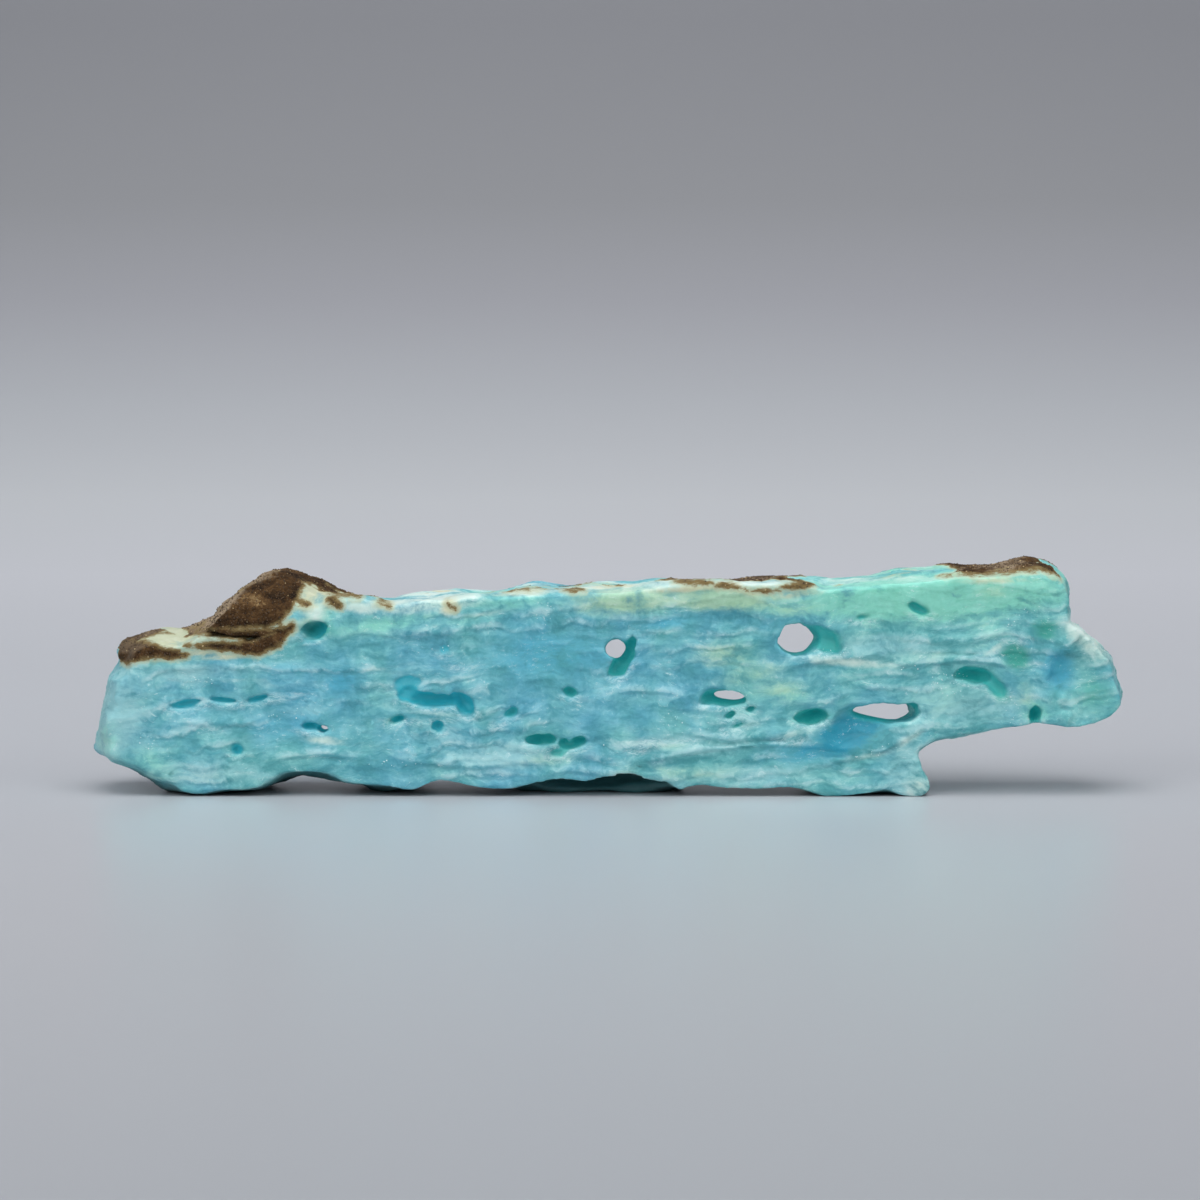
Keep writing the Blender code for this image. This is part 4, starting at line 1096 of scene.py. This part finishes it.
def zoned(tree, stored, noises, coloured):
    """The zones, their edges frayed by the same noises."""
    frayed = add(tree, "ShaderNodeMath", {0: noises["mixed"], 1: 1.8, 2: -0.8}, operation="MULTIPLY_ADD")
    for name, (code, strength) in ZONE_COLOURS.items():
        joined = add(tree, "ShaderNodeMath", {0: stored[name], 1: frayed}, operation="MULTIPLY")
        share = add(tree, "ShaderNodeMapRange", {"Value": joined, "From Min": 0.15, "From Max": 1.0,
                                                 "To Max": strength}, interpolation_type="SMOOTHSTEP")
        coloured = add(tree, "ShaderNodeMix", {0: share, 6: coloured, 7: colour(code)},
                       data_type="RGBA").outputs[2]
    return coloured


print("zone colours", len(ZONE_COLOURS))

# %% White flecks, hollows and underside
FLECK_WHITE = "#e2f3f3"
# Painted tint of the hollows: a deeper teal for their shade and for light coloured on its way through the
# stone.
LEFT_PAINTED_HOLLOW_TINT = "#36b2c4"
RIGHT_PAINTED_HOLLOW_TINT = "#38aaa2"
# Colour of the painted shade low under the stone, where it recedes towards the table.
UNDERSIDE_SHADE = "#45767a"


def whitened(tree, stored, noises, grainy, coloured):
    """The grain shows through the zones too, white flecks lie in patches, and lower rims of hollows are
    whitened: pale broken stone, with painted highlight where their lips face the light.
    """
    shade = add(tree, "ShaderNodeMapRange", {"Value": grainy, "From Min": 0.44, "From Max": 0.70,
                                             "To Min": 0.38, "To Max": 0.66})
    shaded = add(tree, "ShaderNodeMix", {0: 0.38, 6: coloured, 7: shade}, data_type="RGBA",
                 blend_type="OVERLAY")
    fleck = add(tree, "ShaderNodeMapRange", {"Value": noises["sugar"], "From Min": 0.55, "From Max": 0.68,
                                             "To Max": 0.75}, interpolation_type="SMOOTHSTEP")
    patch = add(tree, "ShaderNodeMapRange", {"Value": noises["clouds"], "From Min": 0.46, "From Max": 0.62},
                interpolation_type="SMOOTHSTEP")
    flecked = add(tree, "ShaderNodeMath", {0: fleck, 1: patch}, operation="MULTIPLY")
    chipped = add(tree, "ShaderNodeMapRange", {"Value": noises["sugar"], "From Min": 0.42,
                                               "From Max": 0.62, "To Max": 0.6})
    pale_and_lit_rims = add(tree, "ShaderNodeMath", {0: stored["rim"], 1: chipped}, operation="MULTIPLY")
    white = add(tree, "ShaderNodeMath", {0: flecked, 1: pale_and_lit_rims}, operation="MAXIMUM")
    return add(tree, "ShaderNodeMix", {0: white, 6: shaded.outputs[2], 7: colour(FLECK_WHITE)},
               data_type="RGBA").outputs[2]


def hollowed(tree, place, stored, coloured):
    """Hollows get a painted deeper teal for their shade and for light coloured by the stone, bluer on the
    left and greener on the right; the low faces under the stone get painted shade.
    """
    aside = add(tree, "ShaderNodeSeparateXYZ", {0: place}).outputs["X"]
    rightwards = add(tree, "ShaderNodeMapRange", {"Value": aside, "From Min": -20.0 * MM,
                                                  "From Max": -10.0 * MM})
    painted_hollow_tint = add(tree, "ShaderNodeMix", {0: rightwards, 6: colour(LEFT_PAINTED_HOLLOW_TINT),
                                                7: colour(RIGHT_PAINTED_HOLLOW_TINT)}, data_type="RGBA")
    # Painted shade and light tint: the deeper a point lies in a hollow, the more of the hollow colour it
    # takes.
    inner = add(tree, "ShaderNodeMath", {0: stored["hollow"], 1: 0.8}, operation="MULTIPLY")
    deepened = add(tree, "ShaderNodeMix", {0: inner, 6: coloured, 7: painted_hollow_tint.outputs[2]},
                   data_type="RGBA")
    # Painted shade: the low faces under the stone are darkened towards a dark teal.
    return add(tree, "ShaderNodeMix", {0: stored["underside"], 6: deepened.outputs[2],
                                       7: colour(UNDERSIDE_SHADE)}, data_type="RGBA").outputs[2]


print("hollows", LEFT_PAINTED_HOLLOW_TINT, "to", RIGHT_PAINTED_HOLLOW_TINT)

# %% Crust colours
CRUST_GRAIN_SCALE = 3300.0
STAIN_SCALE = 300.0
CRUST_BROWNS = [(0.40, "#21160b"), (0.54, "#3f2c18"), (0.66, "#523b22"), (0.76, "#6a5133"),
                (0.88, "#96805a")]
CRUST_SLOPE_HIGHLIGHT = "#a8967e"
LEFT_AND_UP = (-0.75, 0.0, 0.66)


def crust_colour(tree, place):
    """Sandy brown, stained in patches, with a painted highlight on the hump's slope that faces up and to the
    left, and its grains.
    """
    grains = add(tree, "ShaderNodeTexVoronoi", {"Vector": place, "Scale": CRUST_GRAIN_SCALE})
    each = add(tree, "ShaderNodeSeparateXYZ", {0: grains.outputs["Color"]})
    stain = add(tree, "ShaderNodeTexNoise", {"Vector": place, "Scale": STAIN_SCALE, "Detail": 6.0,
                                             "Roughness": 0.65})
    mixed = add(tree, "ShaderNodeMath", {0: each, 1: 0.16, 2: stain}, operation="MULTIPLY_ADD")
    brown = add(tree, "ShaderNodeValToRGB", {"Fac": mixed}, CRUST_BROWNS)
    facing = add(tree, "ShaderNodeNewGeometry").outputs["Normal"]
    # Painted highlight: high slopes of the crust that face up and to the left are made paler.
    leftwards = add(tree, "ShaderNodeVectorMath", {0: facing, 1: LEFT_AND_UP}, operation="DOT_PRODUCT")
    slope = add(tree, "ShaderNodeMapRange", {"Value": leftwards.outputs["Value"], "From Min": 0.62,
                                             "From Max": 0.9})
    height = add(tree, "ShaderNodeSeparateXYZ", {0: place}).outputs["Z"]
    high_up = add(tree, "ShaderNodeMapRange", {"Value": height, "From Min": 23.0 * MM,
                                               "From Max": 25.0 * MM, "To Min": 0.25, "To Max": 0.8})
    slope_highlight = add(tree, "ShaderNodeMath", {0: slope, 1: high_up}, operation="MULTIPLY")
    highlighted_crust = add(tree, "ShaderNodeMix", {0: slope_highlight, 6: brown.outputs["Color"], 7: colour(CRUST_SLOPE_HIGHLIGHT)},
                data_type="RGBA")
    return highlighted_crust.outputs[2], grains.outputs["Distance"]


print("crust browns", len(CRUST_BROWNS))

# %% Aragonite material
CRUST_MARGIN = "#c3caa9"
CRUST_TAN = "#8a7850"
PAINTED_HOLLOW_GLOW = "#1aa2ac"
ARAGONITE_IOR = 1.6
STORED = (*ZONE_COLOURS, "hollow", "rim", "underside", "layer", "present", "above_line", "line_strength",
          "crust")


def blue_aragonite():
    """Waxy banded stone, and dull sandy crust where the stored crust value is high."""
    material = bpy.data.materials.new("blue_aragonite")
    material.use_nodes = True
    tree = material.node_tree
    shader = tree.nodes["Principled BSDF"]
    place = add(tree, "ShaderNodeTexCoord").outputs["Object"]
    stored = {name: add(tree, "ShaderNodeAttribute", attribute_name=name).outputs["Fac"] for name in STORED}
    noises = stone_noises(tree, place)
    blue, grainy = banded_blue(tree, place, stored, noises)
    patched = zoned(tree, stored, noises, lipped(tree, stored, noises, blue))
    stone_tone = hollowed(tree, place, stored, whitened(tree, stored, noises, grainy, patched))
    brown, grains = crust_colour(tree, place)

    # The crust's edge, and the cream margin that frays out from under it
    inside = add(tree, "ShaderNodeMath", {0: noises["sugar"], 1: 1.2, 2: stored["crust"]},
                 operation="MULTIPLY_ADD")
    crusted = add(tree, "ShaderNodeMapRange", {"Value": inside, "From Min": 0.55, "From Max": 1.0},
                  interpolation_type="SMOOTHSTEP")
    margin = add(tree, "ShaderNodeMapRange", {"Value": inside, "From Min": 0.0, "From Max": 0.7,
                                              "To Max": 0.7}, interpolation_type="SMOOTHSTEP")
    edged = add(tree, "ShaderNodeMix", {0: margin, 6: stone_tone, 7: colour(CRUST_MARGIN)}, data_type="RGBA")
    tanned = add(tree, "ShaderNodeMix", {0: crusted, 6: edged.outputs[2], 7: colour(CRUST_TAN)},
                 data_type="RGBA")
    thick = add(tree, "ShaderNodeMapRange", {"Value": inside, "From Min": 0.75, "From Max": 1.6},
                interpolation_type="SMOOTHSTEP")
    final = add(tree, "ShaderNodeMix", {0: thick, 6: tanned.outputs[2], 7: brown}, data_type="RGBA")
    tree.links.new(final.outputs[2], shader.inputs["Base Color"])

    # Waxy stone, dull crust
    rough = add(tree, "ShaderNodeMapRange", {"Value": crusted, "To Min": 0.5, "To Max": 0.9})
    tree.links.new(rough.outputs[0], shader.inputs["Roughness"])
    glow = add(tree, "ShaderNodeMapRange", {"Value": crusted, "To Min": 0.8, "To Max": 0.0})
    tree.links.new(glow.outputs[0], shader.inputs["Subsurface Weight"])
    shader.inputs["Subsurface Radius"].default_value = (1.0, 1.0, 1.0)
    shader.inputs["Subsurface Scale"].default_value = 1.4 * MM
    shader.inputs["IOR"].default_value = ARAGONITE_IOR
    gloss = add(tree, "ShaderNodeMapRange", {"Value": crusted, "To Min": 0.4, "To Max": 0.15})
    tree.links.new(gloss.outputs[0], shader.inputs["Specular IOR Level"])

    # A painted glow in the hollows stands in for light that came in through the stone; it is faintest at the
    # back
    inward = add(tree, "ShaderNodeSeparateXYZ", {0: place}).outputs["Y"]
    painted_glow_falloff = add(tree, "ShaderNodeMapRange", {"Value": inward, "From Min": 0.0, "From Max": 6.0 * MM,
                                              "To Min": 0.19, "To Max": 0.04})
    painted_glow_share = add(tree, "ShaderNodeMath", {0: stored["hollow"], 1: painted_glow_falloff}, operation="MULTIPLY")
    bare = add(tree, "ShaderNodeMath", {0: 1.0, 1: crusted}, operation="SUBTRACT")
    painted_glow_strength = add(tree, "ShaderNodeMath", {0: painted_glow_share, 1: bare}, operation="MULTIPLY")
    tree.links.new(painted_glow_strength.outputs[0], shader.inputs["Emission Strength"])
    shader.inputs["Emission Color"].default_value = colour(PAINTED_HOLLOW_GLOW)

    # Grain too fine for the mesh: sugary stone and rounded sand
    rounded = add(tree, "ShaderNodeMath", {0: grains, 1: -2.0}, operation="MULTIPLY")
    grain = add(tree, "ShaderNodeMix", {0: crusted, 2: noises["sugar"], 3: rounded}, data_type="FLOAT")
    bump = add(tree, "ShaderNodeBump", {"Height": grain, "Strength": 0.4, "Distance": 0.2 * MM})
    tree.links.new(bump.outputs[0], shader.inputs["Normal"])
    return material


aragonite = blue_aragonite()
run_tree(stone, weathering, {**WEATHERING, "Finish": aragonite})
print("weathered stone", 2 * len(stone.data.polygons), "triangles")

# %% [markdown]
# ## Fewer triangles where the stone is smooth
# The remesh spends as many faces on a flat floor as on a ledge. Collapsing the edges that matter least
# keeps the rims and ledges crisp and leaves a mesh that is easy to handle.

# %% Thin out the mesh
MOST_TRIANGLES = 190_000


def thinned(thing):
    """Collapses edges until about the wanted number of triangles is left."""
    fewer = thing.modifiers.new("fewer", "DECIMATE")
    fewer.ratio = min(1.0, MOST_TRIANGLES / (2 * len(thing.data.polygons)))
    return evaluated_mesh(thing)


thinned(stone)
stone.data.shade_smooth()
print("thinned stone", len(stone.data.polygons), "faces")

# %% Hand the stone over
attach(stone, "root")
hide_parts(SLAB)

# %% [markdown]
# ## Grains of sand and sugary crystals
# The crust is made of rounded grains, a few tenths of a millimetre across, from nearly black to quartz
# white. Tiny pale crystals sparkle where the stone broke instead of being sawn. One Geometry Nodes tree
# scatters both: it puts small rounded grains on the faces where a stored value is high enough, turns and
# stretches each at random, and gives each a random tone.


# %% Scattering tree
WHOLE_TURNS = (6.28, 6.28, 6.28)
GRAIN_IOR = 1.54


def scattering_tree():
    """Puts small grains on the faces of a mesh where a stored value is over a threshold."""
    tree = bpy.data.node_groups.new("scattered_grains", "GeometryNodeTree")
    tree.interface.new_socket("Geometry", in_out="INPUT", socket_type="NodeSocketGeometry")
    tree.interface.new_socket("Geometry", in_out="OUTPUT", socket_type="NodeSocketGeometry")
    tree.interface.new_socket("Where", in_out="INPUT", socket_type="NodeSocketString")
    for name in ("Threshold", "Grains per square metre", "Smallest grain", "Largest grain"):
        tree.interface.new_socket(name, in_out="INPUT", socket_type="NodeSocketFloat")
    tree.interface.new_socket("Seed", in_out="INPUT", socket_type="NodeSocketInt")
    tree.interface.new_socket("Finish", in_out="INPUT", socket_type="NodeSocketMaterial")
    given = add(tree, "NodeGroupInput").outputs
    value = add(tree, "GeometryNodeInputNamedAttribute", {"Name": given["Where"]}, data_type="FLOAT")
    chosen = add(tree, "ShaderNodeMath", {0: value, 1: given["Threshold"]}, operation="GREATER_THAN")
    density = add(tree, "ShaderNodeMath", {0: chosen, 1: given["Grains per square metre"]},
                  operation="MULTIPLY")
    spots = add(tree, "GeometryNodeDistributePointsOnFaces",
                {"Mesh": given["Geometry"], "Density": density, "Seed": given["Seed"]})
    grain = add(tree, "GeometryNodeMeshIcoSphere", {"Radius": 1.0, "Subdivisions": 1})
    turn = add(tree, "FunctionNodeRandomValue", {0: (0.0, 0.0, 0.0), 1: WHOLE_TURNS, "Seed": given["Seed"]},
               data_type="FLOAT_VECTOR")
    size = add(tree, "FunctionNodeRandomValue", {0: given["Smallest grain"], 1: given["Largest grain"],
                                                 "Seed": given["Seed"]}, data_type="FLOAT_VECTOR")
    grains = add(tree, "GeometryNodeInstanceOnPoints", {"Points": spots, "Instance": grain, "Rotation": turn,
                                                        "Scale": size})
    tone = add(tree, "FunctionNodeRandomValue", {2: 0.0, 3: 1.0, "Seed": given["Seed"]}, data_type="FLOAT")
    toned = add(tree, "GeometryNodeStoreNamedAttribute", {"Geometry": grains, "Name": "tone",
                                                          "Value": tone.outputs[1]}, domain="INSTANCE")
    whole = add(tree, "GeometryNodeRealizeInstances", {"Geometry": toned})
    finished = add(tree, "GeometryNodeSetMaterial", {"Geometry": whole, "Material": given["Finish"]})
    add(tree, "NodeGroupOutput", {"Geometry": finished})
    return tree


def grain_material(name, tones, roughness):
    """Each grain takes one tone of the list, by its stored random number."""
    material = bpy.data.materials.new(name)
    material.use_nodes = True
    tree = material.node_tree
    shader = tree.nodes["Principled BSDF"]
    tone = add(tree, "ShaderNodeAttribute", attribute_name="tone").outputs["Fac"]
    base = add(tree, "ShaderNodeValToRGB", {"Fac": tone}, tones)
    tree.links.new(base.outputs["Color"], shader.inputs["Base Color"])
    shader.inputs["Roughness"].default_value = roughness
    shader.inputs["IOR"].default_value = GRAIN_IOR
    return material


scatter = scattering_tree()
print("scattering nodes", len(scatter.nodes))

# %% Scatter the grains
SAND_TONES = [(0.0, "#281c12"), (0.4, "#3f2f1d"), (0.8, "#583f26"), (0.93, "#7c6242"), (1.0, "#cdb98c")]
CRYSTAL_TONES = [(0.0, "#8ecdd2"), (1.0, "#eaf6f5")]
CRUST_SAND = {"Where": "crust", "Threshold": 0.55, "Grains per square metre": 3.0e6,
              "Smallest grain": 0.06 * MM, "Largest grain": 0.15 * MM, "Seed": 5}
SUGAR = {"Where": "sparkle", "Threshold": 0.45, "Grains per square metre": 1.6e6,
         "Smallest grain": 0.04 * MM, "Largest grain": 0.13 * MM, "Seed": 8}
GRAIN_FACES = 20


def scattered(name, tree, values):
    """A separate piece of grains, scattered over a copy of the stone."""
    thing = bpy.data.objects.new(name, stone.data.copy())
    bpy.context.scene.collection.objects.link(thing)
    run_tree(thing, tree, values)
    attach(thing, "root")
    print(name, len(thing.data.polygons) // GRAIN_FACES, "grains")
    return thing


scattered("crust_grains", scatter,
          {**CRUST_SAND, "Finish": grain_material("iron_stained_sand", SAND_TONES, 0.75)})
scattered("sugar_crystals", scatter,
          {**SUGAR, "Finish": grain_material("aragonite_crystals", CRYSTAL_TONES, 0.3)})
